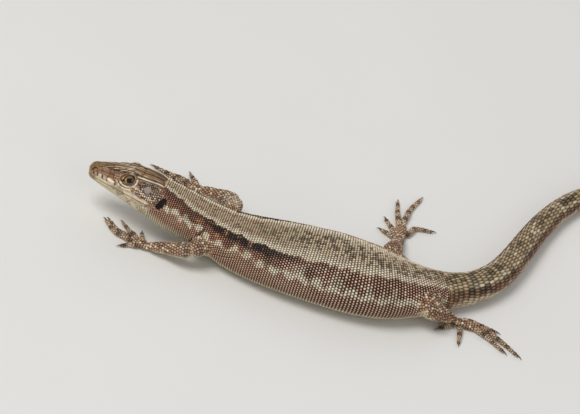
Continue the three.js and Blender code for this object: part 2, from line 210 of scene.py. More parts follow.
@dataclass
class Body:
    """Head, neck, trunk and tail as a radius round an axis, by station and angle.

    The cross planes stand square to the back's direction in plan.  In each, the outline is
    the part's own, turned into a table of radius against the angle from the top.
    """

    step: float = 0.25
    sides: int = 96

    def __post_init__(self) -> None:
        """Integrates the back's direction and fills the table of radii."""
        fine = 0.05
        track = np.arange(NOSE - 3, TAIL_TIP + 3, fine)
        heading = np.radians(HEADING(track))
        steps = np.stack([np.cos(heading), np.sin(heading)], 1)
        walked = np.concatenate([np.zeros((1, 2)), np.cumsum((steps[1:] + steps[:-1]) / 2 * fine, 0)])
        start = np.array([np.interp(0, track, walked[:, k]) for k in (0, 1)])
        self.track, self.places = track, walked - start
        self.stations = np.arange(NOSE, TAIL_TIP + self.step, self.step)
        self.angles = np.linspace(-math.pi, math.pi, self.sides + 1)
        self.table = self.radius_rows(self.stations)
        self.arcs = self.arc_rows()

    @staticmethod
    def pivot(station: Array) -> Array:
        """Height of the point that a station's cross plane rolls about."""
        neck = HALF_HEIGHT(station) + CLEARANCE(station) - FLOOR_SINK
        return mix(neck, MOUTH_HEIGHT, head_share(station))

    @staticmethod
    def roll(station: Array) -> Array:
        """How far a station's cross plane leans to the right, in radians."""
        return np.radians(HEAD_ROLL * fall(station, -27, -13))

    @staticmethod
    def half_outline(station: Array) -> Array:
        """Seven points from top to bottom of each station's right half, as (out, height).

        The trunk is a superellipse; the head has a flat crown, full lips and a narrower jaw,
        and closes towards the nose as a quarter circle does.

        Args:
            station: distance along the back.

        Returns:
            Rows of seven (out, height) pairs.
        """
        angle = np.pi / 2 - np.arange(7) * np.pi / 6
        power = (2 / SQUARENESS(station))[:, None]
        wide, high = HALF_WIDTH(station)[:, None], HALF_HEIGHT(station)[:, None]
        middle = high - FLOOR_SINK + CLEARANCE(station)[:, None]
        out = np.maximum(0, np.cos(angle)) ** power * wide
        up = np.sign(np.sin(angle)) * np.abs(np.sin(angle)) ** power * high + middle
        trunk = np.stack([out, up], -1)
        back = np.maximum(0, station - NOSE)
        lips, crown, jaw, flat = (c(back) for c in (LIP_WIDTH, CROWN_HEIGHT, JAW_DEPTH, CROWN_WIDTH))
        rounding = np.sqrt(1 - (1 - np.minimum(1, back / NOSE_ROUNDING + 0.02)) ** 2)[:, None]
        brow = mix(flat, lips, 0.62)
        side = np.stack([0 * lips, flat, brow, lips, 0.965 * lips, 0.7 * lips, 0 * lips], 1)
        rise = np.stack([crown, 0.95 * crown, 0.58 * crown, 0.15 * crown, -0.2 * jaw, -0.85 * jaw, -jaw], 1)
        height = MOUTH_HEIGHT + NOSE_TIP_RISE + (rise - NOSE_TIP_RISE) * rounding
        head = np.stack([side * rounding, height], -1)
        return mix(trunk, head, head_share(station)[:, None, None])

    def radius_rows(self, station: Array) -> Array:
        """Radius against angle for each station, from the closed curve through its outline.

        The curve is a uniform Catmull-Rom loop through the seven points and their mirror images.

        Args:
            station: distance along the back.

        Returns:
            A row of radii for each station, one for each of the body's angles.
        """
        half = self.half_outline(station)
        mirrored = half[:, 5:0:-1] * np.array([-1, 1])
        knots = np.concatenate([half, mirrored], 1)
        place = np.linspace(0, 6, 73)[:-1]
        k, t = np.floor(place).astype(int), (place % 1)[:, None]
        a, b, c, d = (knots[:, (k + n) % 12] for n in (-1, 0, 1, 2))
        loop = 0.5 * (2 * b + (c - a) * t + (2 * a - 5 * b + 4 * c - d) * t ** 2
                      + (3 * b - a - 3 * c + d) * t ** 3)
        loop = np.concatenate([loop, half[:, -1:]], 1)
        loop[..., 1] -= self.centre(station)[:, None]
        angle = np.arctan2(np.maximum(loop[..., 0], 0), loop[..., 1])
        angle[:, 0], angle[:, -1] = 0, np.pi
        reach = np.hypot(loop[..., 0], loop[..., 1])
        wanted = np.abs(self.angles)
        return np.stack([np.interp(wanted, a, r) for a, r in zip(angle, reach)])

    def centre(self, station: Array) -> Array:
        """Height of the axis that angles are measured about, before the roll."""
        return self.pivot(station) + NOSE_TIP_RISE * head_share(station)

    def arc_rows(self) -> Array:
        """Distance over the skin from the top of the back to each angle of the right half.

        Returns:
            A row of distances for each station.
        """
        half = self.sides // 2
        angle, reach = self.angles[half:], self.table[:, half:]
        x, y = reach * np.sin(angle), reach * np.cos(angle)
        lengths = np.hypot(np.diff(x, axis=1), np.diff(y, axis=1))
        return np.concatenate([np.zeros((len(reach), 1)), np.cumsum(lengths, 1)], 1)

    def girth(self, station: Array) -> Array:
        """Half the way round the body at each station."""
        return np.interp(station, self.stations, self.arcs[:, -1])

    def angle_at(self, station: Array, share: Array) -> Array:
        """The angle at a share of the way from back to belly; negative shares go left.

        Args:
            station: one station for each row.
            share: rows of shares, -1..1.

        Returns:
            Rows of angles in radians.
        """
        half = self.sides // 2
        rows = np.clip(np.rint((station - NOSE) / self.step).astype(int), 0, len(self.stations) - 1)
        angle = self.angles[half:]
        return np.stack([
            np.sign(s) * np.interp(np.abs(s), self.arcs[r] / self.arcs[r, -1], angle)
            for r, s in zip(rows, share)
        ])

    def share_at(self, station: Array, angle: Array) -> Array:
        """The share of the way from back to belly at each station and angle, unsigned."""
        return self.lookup(self.arcs / self.arcs[:, -1:], station, np.abs(angle), 0.0)

    def lookup(self, table: Array, station: Array, angle: Array, first: float) -> Array:
        """A table's value between its rows and columns (bilinear).

        Args:
            table: rows by station, columns by angle.
            station: distance along the back.
            angle: from the top.
            first: angle of the first column.

        Returns:
            The value at each place.
        """
        row = np.clip((station - NOSE) / self.step, 0, len(self.stations) - 1.001)
        column = np.clip((angle - first) / (2 * math.pi / self.sides), 0, table.shape[1] - 1.001)
        i, j = row.astype(int), column.astype(int)
        u, v = row - i, column - j
        near = mix(table[i, j], table[i, j + 1], v)
        far = mix(table[i + 1, j], table[i + 1, j + 1], v)
        return mix(near, far, u)

    def radius(self, station: Array, angle: Array) -> Array:
        """Distance from the axis to the surface."""
        turned = (angle + math.pi) % (2 * math.pi) - math.pi
        return self.lookup(self.table, station, turned, -math.pi)

    def axis(self, station: Array) -> tuple[Array, Array, Array]:
        """Plan position of the back at each station and its direction in radians."""
        x, y = (np.interp(station, self.track, self.places[:, k]) for k in (0, 1))
        return x, y, np.radians(HEADING(station))

    def surface(self, station: Array, angle: Array, lift: Array | float = 0.0) -> Array:
        """Points on the surface, or lift millimetres outside it.

        Args:
            station: distance along the back.
            angle: from the top.
            lift: distance outside the surface.

        Returns:
            Points in millimetres.
        """
        reach = self.radius(station, angle) + lift
        height = reach * np.cos(angle) + self.centre(station)
        return self.place(station, reach * np.sin(angle), height)

    def place(self, station: Array, out: Array, height: Array) -> Array:
        """Points given in stations' own cross planes, as (out to the right, height) before the roll.

        Args:
            station: distance along the back.
            out: distance to the right.
            height: over the floor.

        Returns:
            Points in millimetres.
        """
        x, y, heading = self.axis(station)
        pivot, roll = self.pivot(station), self.roll(station)
        rise = height - pivot
        across = out * np.cos(roll) + rise * np.sin(roll)
        up = pivot - out * np.sin(roll) + rise * np.cos(roll)
        return np.stack([x - across * np.sin(heading), y + across * np.cos(heading), up], -1)

    def coordinates(self, points: Array) -> tuple[Array, Array, Array, Array]:
        """Station, angle, distance from the axis and the outward direction at each point.

        Args:
            points: places in millimetres.

        Returns:
            Stations, angles, distances and directions.
        """
        coarse = self.places[::10]
        station = np.empty(len(points))
        for start in range(0, len(points), 8192):
            near = points[start:start + 8192, None, :2] - coarse
            station[start:start + 8192] = self.track[::10][np.argmin((near ** 2).sum(-1), 1)]
        for _ in range(2):
            x, y, heading = self.axis(station)
            ahead = (points[:, 0] - x) * np.cos(heading) + (points[:, 1] - y) * np.sin(heading)
            station = np.clip(station + ahead, NOSE, TAIL_TIP)
        x, y, heading = self.axis(station)
        pivot, roll = self.pivot(station), self.roll(station)
        across = (points[:, 1] - y) * np.cos(heading) - (points[:, 0] - x) * np.sin(heading)
        up = points[:, 2] - pivot
        out = across * np.cos(roll) - up * np.sin(roll)
        rise = across * np.sin(roll) + up * np.cos(roll) - (self.centre(station) - pivot)
        side = out * np.cos(roll) + rise * np.sin(roll)
        height = rise * np.cos(roll) - out * np.sin(roll)
        outward = unit(np.stack([-side * np.sin(heading), side * np.cos(heading), height], -1))
        return station, np.arctan2(out, rise), np.hypot(out, rise), outward


# ---------------------------------------------------------------- limbs

Point = tuple[float, float, float]


def toward(heading: float, distance: float) -> Array:
    """A step of that distance in plan, in a direction given in degrees from +X."""
    return distance * np.array([math.cos(math.radians(heading)), math.sin(math.radians(heading)), 0.0])


@dataclass
class Tube:
    """A round length of limb: a radius carried along a path, with rounded ends.

    Attributes:
        name: what it is, for the pieces made from it.
        knots: points of the path, in millimetres.
        radii: radius at equal distances along it.
        flatten: height over width of the section.
        depth: how far the skin lies inside the outline, under the scales.
        stop: share of the path that is flesh; a claw takes the rest.
    """

    name: str
    knots: Sequence[Array]
    radii: Sequence[float]
    flatten: float = 1.0
    depth: float = 0.1
    stop: float = 1.0

    def __post_init__(self) -> None:
        """Lays a centripetal Catmull-Rom curve through the knots, by equal distances."""
        p = np.array(self.knots, float)
        p = np.concatenate([[2 * p[0] - p[1]], p, [2 * p[-1] - p[-2]]])
        t = np.linspace(0, 1, 33)[:-1, None]
        spans = []
        for a, b, c, d in zip(p, p[1:], p[2:], p[3:]):
            da, db, dc = (math.sqrt(np.linalg.norm(v)) for v in (b - a, c - b, d - c))
            leave = ((b - a) / da - (c - a) / (da + db) + (c - b) / db) * db
            arrive = ((c - b) / db - (d - b) / (db + dc) + (d - c) / dc) * db
            spans.append(b + leave * t + (3 * (c - b) - 2 * leave - arrive) * t ** 2
                         + (2 * (b - c) + leave + arrive) * t ** 3)
        line = np.concatenate(spans + [p[-2:-1]])
        walked = np.concatenate([[0], np.cumsum(np.linalg.norm(np.diff(line, axis=0), axis=1))])
        self.length = walked[-1]
        self.line, self.walked = line, walked / walked[-1]
        self.tips = unit(np.stack([line[1] - line[0], line[-1] - line[-2]]))
        ends = self.radius(np.array([0.0, self.stop])) / self.length
        self.first, self.last = 0.8 * ends[0], self.stop - 0.8 * ends[1]
        self.shares = np.linspace(self.first, self.last, 20)
        self.centres = self.point(self.shares)

    def point(self, share: Array) -> Array:
        """Points on the centre line at shares of its length, which runs on straight past its ends.

        Args:
            share: way along the tube; 0..1 is on it.

        Returns:
            Points in millimetres.
        """
        on_line = np.stack([np.interp(share, self.walked, self.line[:, k]) for k in range(3)], -1)
        past = (share - np.clip(share, 0, 1))[..., None] * self.length
        return on_line + past * np.where(past < 0, self.tips[0], self.tips[1])

    def frame(self, share: Array) -> tuple[Array, Array, Array]:
        """The direction along the limb, the one across it and the one above it.

        Args:
            share: way along the tube, 0..1.

        Returns:
            Directions ahead, across and above.
        """
        ahead = unit(self.point(share + 0.02) - self.point(share - 0.02))
        across = unit(np.cross([0, 0, 1], ahead))
        return ahead, across, np.cross(ahead, across)

    def radius(self, share: Array) -> Array:
        """Radius of the outline at shares of the length, between evenly set radii.

        Args:
            share: way along the tube, 0..1.

        Returns:
            The radius there.
        """
        place = np.clip(share, 0, 1) * (len(self.radii) - 1)
        i = np.clip(place.astype(int), 0, len(self.radii) - 2)
        t = place - i
        radii = np.array(self.radii)
        return mix(radii[i], radii[i + 1], 0.5 * smooth(t, 0, 1) + 0.5 * t)

    def surface(self, share: Array, angle: Array, lift: Array | float = 0.0) -> Array:
        """Points on the outline; the angle goes round from above towards the right of the way.

        Args:
            share: way along the tube, 0..1.
            angle: from above.
            lift: distance outside the outline.

        Returns:
            Points in millimetres.
        """
        _, across, above = self.frame(share)
        reach = self.radius(share) + lift
        out = (reach * np.sin(angle))[..., None]
        up = (reach * np.cos(angle) * self.flatten)[..., None]
        return self.point(share) - across * out + above * up

    def coordinates(self, points: Array) -> tuple[Array, Array, Array, Array]:
        """Share of the length, angle, distance outside the skin and outward direction of points.

        Args:
            points: places in millimetres.

        Returns:
            Shares, angles, distances and directions.
        """
        near = np.argmin(((points[:, None] - self.centres) ** 2).sum(-1), 1)
        share = self.shares[near]
        for _ in range(2):
            ahead = unit(self.point(share + 0.02) - self.point(share - 0.02))
            step = ((points - self.point(share)) * ahead).sum(-1) / self.length
            share = np.clip(share + step, self.first, self.last)
        ahead, across, above = self.frame(share)
        away = points - self.point(share)
        out = -(away * across).sum(-1)
        up = (away * above).sum(-1) / self.flatten
        along = (away * ahead).sum(-1)
        reach = np.sqrt(out ** 2 + up ** 2 + along ** 2)
        outward = ahead * along[:, None] - across * out[:, None] + above * (up / self.flatten)[:, None]
        return share, np.arctan2(out, up), reach - self.radius(share) + self.depth, unit(outward)


@dataclass(frozen=True)
class Paw:
    """Hand or foot, with five digits.

    Attributes:
        lengths: of the digits' flesh, from the inner to the outer.
        knuckles: (forward, across) from the wrist to the place where each digit starts.
        radii: of a digit, at its root and near its claw.
        half_width: of the palm or sole.
        digit: a digit's name.
        palm: the palm's or sole's name.
    """

    lengths: tuple[float, ...]
    knuckles: tuple[tuple[float, float], ...]
    radii: tuple[float, float]
    half_width: float
    digit: str
    palm: str


@dataclass(frozen=True)
class Limb:
    """One leg.

    Attributes:
        side: left or right.
        names: of its upper and lower length.
        joints: hip or shoulder, knee or elbow, and wrist or ankle.
        radii: at the root, at the joint, at the thickest place below it and at the end.
        palm: the way that the palm or sole points, in degrees from +X, and its length.
        headings: the way that each digit leaves, in degrees from +X.
        bends: how far each digit turns half way.
        paw: sizes of the hand or foot.
    """

    side: str
    names: tuple[str, str]
    joints: tuple[Point, Point, Point]
    radii: tuple[float, float, float, float]
    palm: tuple[float, float]
    headings: tuple[float, ...]
    bends: tuple[float, ...]
    paw: Paw

    def tubes(self) -> list[Tube]:
        """The limb's lengths from the body outwards: upper, lower, palm and five digits.

        Returns:
            Eight tubes.
        """
        root, joint, belly, end = self.radii
        a, b, c = (np.array(p, float) for p in self.joints)
        upper = Tube(f"{self.side}_{self.names[0]}", [a, (a + b) / 2, b],
                     [root, mix(root, joint, 0.4), joint])
        lower = Tube(f"{self.side}_{self.names[1]}", [b, mix(b, c, 0.33), mix(b, c, 0.7), c],
                     [0.93 * joint, belly, mix(belly, end, 0.6), end])
        way = toward(*self.palm)
        flat = np.array([1.0, 1.0, 0.0])
        palm_knots = [c - [0, 0, 0.15], (c + way / 2) * flat + [0, 0, 0.62],
                      (c + way) * flat + [0, 0, 0.52]]
        wide = self.paw.half_width
        palm = Tube(f"{self.side}_{self.paw.palm}", palm_knots, [0.8, wide, 0.85 * wide], 0.58, 0.08)
        return [upper, lower, palm] + [self.digit(i, c) for i in range(5)]

    def digit(self, index: int, wrist: Array) -> Tube:
        """One finger or toe, flat on the floor and bent half way, up to the root of its claw.

        Args:
            index: which digit, from 0.
            wrist: where the palm or sole starts.

        Returns:
            The digit's tube.
        """
        forward, across = self.paw.knuckles[index]
        outer = 90 if self.side == "left" else -90
        heading, bend = self.headings[index], self.bends[index]
        start = wrist + toward(self.palm[0], forward) + toward(self.palm[0] + outer, across)
        half = self.paw.lengths[index] / 2
        middle = start + toward(heading, half)
        tip = middle + toward(heading + bend, half)
        claw = tip + toward(heading + bend, CLAW_LENGTH)
        thick, thin = self.paw.radii
        rest = thick - FLOOR_SINK
        quarter = start + toward(heading, half / 2)
        heights = [rest + 0.16, rest + 0.3, rest + 0.12, rest - 0.02, 0.2]
        knots = [np.array([p[0], p[1], z]) for p, z in zip([start, quarter, middle, tip, claw], heights)]
        stop = 1 - CLAW_LENGTH / (2 * half + CLAW_LENGTH)
        radii = [thick, thick, mix(thick, thin, 0.5), thin, 0.17]
        return Tube(f"{self.side}_{self.paw.digit}_{index + 1}", knots, radii, 1.0, 0.05, stop)


HAND = Paw((2.1, 4.5, 5.9, 6.5, 2.8), ((1.6, -1.0), (2.3, -0.65), (2.85, -0.05), (2.75, 0.6), (1.5, 1.0)),
           (0.42, 0.3), 1.05, "finger", "hand")
FOOT = Paw((3.0, 4.0, 6.3, 8.2, 5.9), ((0.1, -0.75), (1.2, -0.95), (3.9, -0.5), (4.75, 0.25), (1.5, 0.95)),
           (0.46, 0.3), 0.95, "toe", "foot")
FORE_RADII = (1.65, 1.45, 1.35, 0.78)
HIND_RADII = (2.3, 2.0, 1.7, 0.85)
LIMBS = (
    Limb("left", ("upper_arm", "forearm"), ((-15.4, -2.4, 4.2), (-17.6, -6.3, 3.9), (-24.7, -5.0, 0.95)),
         FORE_RADII, (163, 2.7), (107, 140, 160, 162, 188), (-6, -8, -26, -30, 24), HAND),
    Limb("right", ("upper_arm", "forearm"), ((-14.2, 2.6, 3.8), (-13.4, 10.5, 3.6), (-19.3, 14.0, 0.95)),
         FORE_RADII, (166, 2.7), (219, 193, 180, 171, 126), (-8, -6, -4, -4, -4), HAND),
    Limb("left", ("thigh", "shank"), ((21.6, 4.0, 3.1), (22.1, -1.3, 4.8), (27.0, 3.0, 1.0)),
         HIND_RADII, (5, 4.7), (228, 282, 336, 338, 5), (-4, -4, -8, -9, -8), FOOT),
    Limb("right", ("thigh", "shank"), ((18.9, 6.0, 3.3), (13.5, 11.0, 2.4), (14.3, 18.9, 1.0)),
         HIND_RADII, (97, 4.7), (149, 120, 104, 84, 68), (10, 6, -4, -11, -50), FOOT),
)

# ---------------------------------------------------------------- the whole flesh


@dataclass(frozen=True)
class Where:
    """Body coordinates of points: which length of the animal each lies on, and where on it.

    Attributes:
        part: -1 for the body, else the index of the tube.
        along: station on the body, or share of the tube's length.
        angle: from the top of the body or limb, positive to its right.
        depth: millimetres outside the skin.
    """

    part: Array
    along: Array
    angle: Array
    depth: Array


def collar_line(share: Array) -> Array:
    """Station of the collar's crease at shares of the way from back to belly."""
    return COLLAR_STATION - COLLAR_SLANT * (np.minimum(share, 0.62) - 0.34)


@dataclass
class Flesh:
    """Body and limbs as one soft form: parts that grow from each other meet in a fillet.

    Attributes:
        body: head, neck, trunk and tail.
        shoulder_fillet: between body and upper lengths, in millimetres.
        knee_fillet: between upper and lower lengths.
        wrist_fillet: between lower lengths and palms or soles.
        digit_fillet: between palms or soles and digits.
    """

    body: Body = field(default_factory=Body)
    shoulder_fillet: float = 1.5
    knee_fillet: float = 0.5
    wrist_fillet: float = 0.4
    digit_fillet: float = 0.25

    def __post_init__(self) -> None:
        """Lists the tubes, each with the part that it grows from and the fillet there."""
        self.tubes: list[Tube] = []
        self.parents: list[int] = []
        self.fillets: list[float] = []
        for limb in LIMBS:
            first = len(self.tubes)
            self.tubes += limb.tubes()
            self.parents += [-1, first, first + 1] + [first + 2] * 5
            self.fillets += [self.shoulder_fillet, self.knee_fillet, self.wrist_fillet]
            self.fillets += [self.digit_fillet] * 5

    @staticmethod
    def coat_depth(station: Array) -> Array:
        """How far the skin of head, trunk and tail lies under the tips of the scales."""
        return 0.12 + 0.14 * head_share(station) - 0.04 * smooth(station, 60, 120)

    @staticmethod
    def fold_depth(station: Array, share: Array) -> Array:
        """Depth of the collar's crease and of the fold behind the shoulder, as soft troughs.

        Args:
            station: distance along the back.
            share: way from back to belly, 0..1.

        Returns:
            Depth in millimetres.
        """
        crease = collar_line(share)
        collar = 0.42 * np.exp(-((station - crease) / 0.24) ** 2) * smooth(share, 0.31, 0.37)
        middle = -15 + (0.57 - share) * 29
        armpit = 0.25 * np.exp(-((station - middle) / 0.5) ** 2) * band(share, 0.5, 0.05, 0.04)
        return collar + armpit

    def fields(self, points: Array) -> tuple[Array, Array, Array, Array]:
        """Distance, outward direction, place along and angle of points against every part.

        The first row is the body, and the rest are the tubes.  A tube whose box is far from
        a point is given a plain large distance there.

        Args:
            points: places in millimetres.

        Returns:
            Rows of distances, directions, places along and angles, a row for each part.
        """
        count = len(points)
        far = 9.0
        distance = np.full((len(self.tubes) + 1, count), far)
        outward = np.zeros((len(self.tubes) + 1, count, 3))
        along, angle = np.zeros_like(distance), np.zeros_like(distance)
        station, turn, reach, way = self.body.coordinates(points)
        distance[0] = reach - self.body.radius(station, turn) + self.coat_depth(station)
        distance[0] += self.fold_depth(station, self.body.share_at(station, turn))
        outward[0], along[0], angle[0] = way, station, turn
        for k, tube in enumerate(self.tubes, 1):
            margin = max(tube.radii) + 2
            low, high = tube.centres.min(0) - margin, tube.centres.max(0) + margin
            near = np.flatnonzero(((points > low) & (points < high)).all(1))
            if len(near):
                found = tube.coordinates(points[near])
                along[k, near], angle[k, near], distance[k, near], outward[k, near] = found
        return distance, outward, along, angle

    def level(self, points: Array) -> tuple[Array, Array, Where]:
        """Distance outside the joined form, the outward direction, and the body coordinates.

        Two neighbours a and b with fillet k meet at the polynomial smooth minimum
        mix(b, a, h) - k h (1 - h), where h = 0.5 + 0.5 (b - a) / k, kept to 0..1.

        Args:
            points: places in millimetres.

        Returns:
            Distances, directions and body coordinates.
        """
        distance, outward, along, angle = self.fields(points)
        best, way = distance[0].copy(), outward[0].copy()
        for k, (parent, fillet) in enumerate(zip(self.parents, self.fillets), 1):
            a, b = distance[k], distance[parent + 1]
            h = np.clip(0.5 + 0.5 * (b - a) / fillet, 0, 1)
            joined = mix(b, a, h) - fillet * h * (1 - h)
            better = joined < best
            best = np.where(better, joined, best)
            turned = mix(outward[parent + 1], outward[k], h[:, None])
            way = np.where(better[:, None], turned, way)
        part = np.argmin(distance, 0)
        rows = np.arange(len(points))
        where = Where(part - 1, along[part, rows], angle[part, rows], best)
        return best, unit(way), where

    def settle(self, points: Array, rounds: int = 3, most: float = 0.6) -> Array:
        """Points moved onto the skin along the outward direction, at most a little each round.

        Args:
            points: places near the skin.
            rounds: how many moves.
            most: the longest move, in millimetres.

        Returns:
            The moved points.
        """
        for _ in range(rounds):
            depth, way, _ = self.level(points)
            points = points - way * np.clip(depth, -most, most)[:, None]
        return points

    def normals(self, points: Array, reach: float = 0.15) -> Array:
        """Outward directions of the joined form, from differences of its distance.

        Args:
            points: places near the skin.
            reach: step of the differences, in millimetres.

        Returns:
            The directions.
        """
        middle = self.level(points)[0]
        steps = np.eye(3) * reach
        return unit(np.stack([self.level(points + s)[0] - middle for s in steps], -1))


# ---------------------------------------------------------------- markings


def chance(*keys: Array | float, seed: int = 0) -> Array:
    """A repeatable number 0..1 for each set of keys: the last digits of a steep sine.

    Args:
        keys: up to three numbers or arrays.
        seed: picks another set of numbers.

    Returns:
        One number for each set.
    """
    total = 0.137 * seed
    for factor, key in zip((12.9898, 78.233, 37.719), keys):
        total = total + factor * np.asarray(key, float)
    return np.abs(np.sin(total) * 43758.5453) % 1


def cloud(x: Array, y: Array, seed: int) -> Array:
    """A soft random field 0..1 that changes over a distance of 1, between numbers on a lattice.

    Args:
        x: place across, in steps of the lattice.
        y: place along it.
        seed: picks another field.

    Returns:
        The field's value at each place.
    """
    i, j = np.floor(x), np.floor(y)
    u, v = smooth(x - i, 0, 1), smooth(y - j, 0, 1)
    near = mix(chance(i, j, seed=seed), chance(i + 1, j, seed=seed), u)
    far = mix(chance(i, j + 1, seed=seed), chance(i + 1, j + 1, seed=seed), u)
    return mix(near, far, v)


def band(value: Array, middle: Array | float, half: Array | float, soft: float) -> Array:
    """1 within half of the middle, falling to 0 over the soft distance outside it."""
    return fall(np.abs(value - middle), half, half + soft)


class Tone(Enum):
    """The colours that markings are mixed from, and a painted highlight, as channels of two attributes."""

    CREAM = 0
    BLACK = 1
    RUST = 2
    BELLY = 3
    OLIVE = 4
    LILAC = 5
    ORANGE = 6
    # painted highlight in each scale's middle; it also deepens the painted shade in the gaps
    BEAD = 7


@dataclass
class Markings:
    """How much of each tone there is at each of many places on the skin."""

    amounts: Array

    @classmethod
    def blank(cls, count: int) -> Markings:
        """Plain brown everywhere."""
        return cls(np.zeros((count, len(Tone))))

    def lift(self, tone: Tone, amount: Array | float) -> None:
        """Raises a tone to an amount where it is less."""
        column = self.amounts[:, tone.value]
        self.amounts[:, tone.value] = np.maximum(column, np.clip(amount, 0, 1))

    def add(self, **amounts: Array | float) -> None:
        """Raises tones, given by their names in small letters."""
        for name, amount in amounts.items():
            self.lift(Tone[name.upper()], amount)

    def fade(self, kept: Array | float, *tones: Tone) -> None:
        """Keeps only a share of some tones."""
        for tone in tones:
            self.amounts[:, tone.value] *= np.clip(kept, 0, 1)

    def put(self, places: Array, other: Markings) -> None:
        """Takes another's amounts at some places."""
        self.amounts[places] = other.amounts


STRIPE_LINE = Curve((
    (-26, 0.1), (-24, 0.105), (-22, 0.125), (-20, 0.15), (-16, 0.15), (-12, 0.145), (-8, 0.165),
    (-3, 0.19), (4, 0.2), (8, 0.185), (12, 0.17), (16, 0.15), (19, 0.165), (23, 0.2), (34, 0.22),
))
STRIPE_STRENGTH = Curve((
    (-26, 1), (0, 1), (10, 0.95), (16, 0.8), (20, 0.75), (28, 0.75), (40, 0.4), (60, 0.2),
))
PATCH_LINE = Curve((
    (-24, 0.39), (-20, 0.36), (-16, 0.395), (-13, 0.395), (-10.5, 0.355), (-8, 0.37), (-5, 0.395),
    (0, 0.405), (4, 0.42), (18, 0.41), (28, 0.42),
))
COLLAR_STATION, COLLAR_SLANT = -16.8, 5.4
BELLY_SHARE = 0.71
NECK_SPOTS = (
    (-23.6, 0.395, 0.4), (-22.6, 0.375, 0.3), (-22.0, 0.36, 0.4), (-20.3, 0.352, 0.42), (-19.7, 0.375, 0.3),
    (-17.9, 0.37, 0.36), (-17.4, 0.355, 0.36), (-21.1, 0.415, 0.34), (-19.2, 0.405, 0.3),
)
SPOTS = ((-15.5, 0.2), (-15.4, 0.25), (-13.0, 0.23), (-14.5, 0.32), (-10.5, 0.24), (-18.3, 0.28))


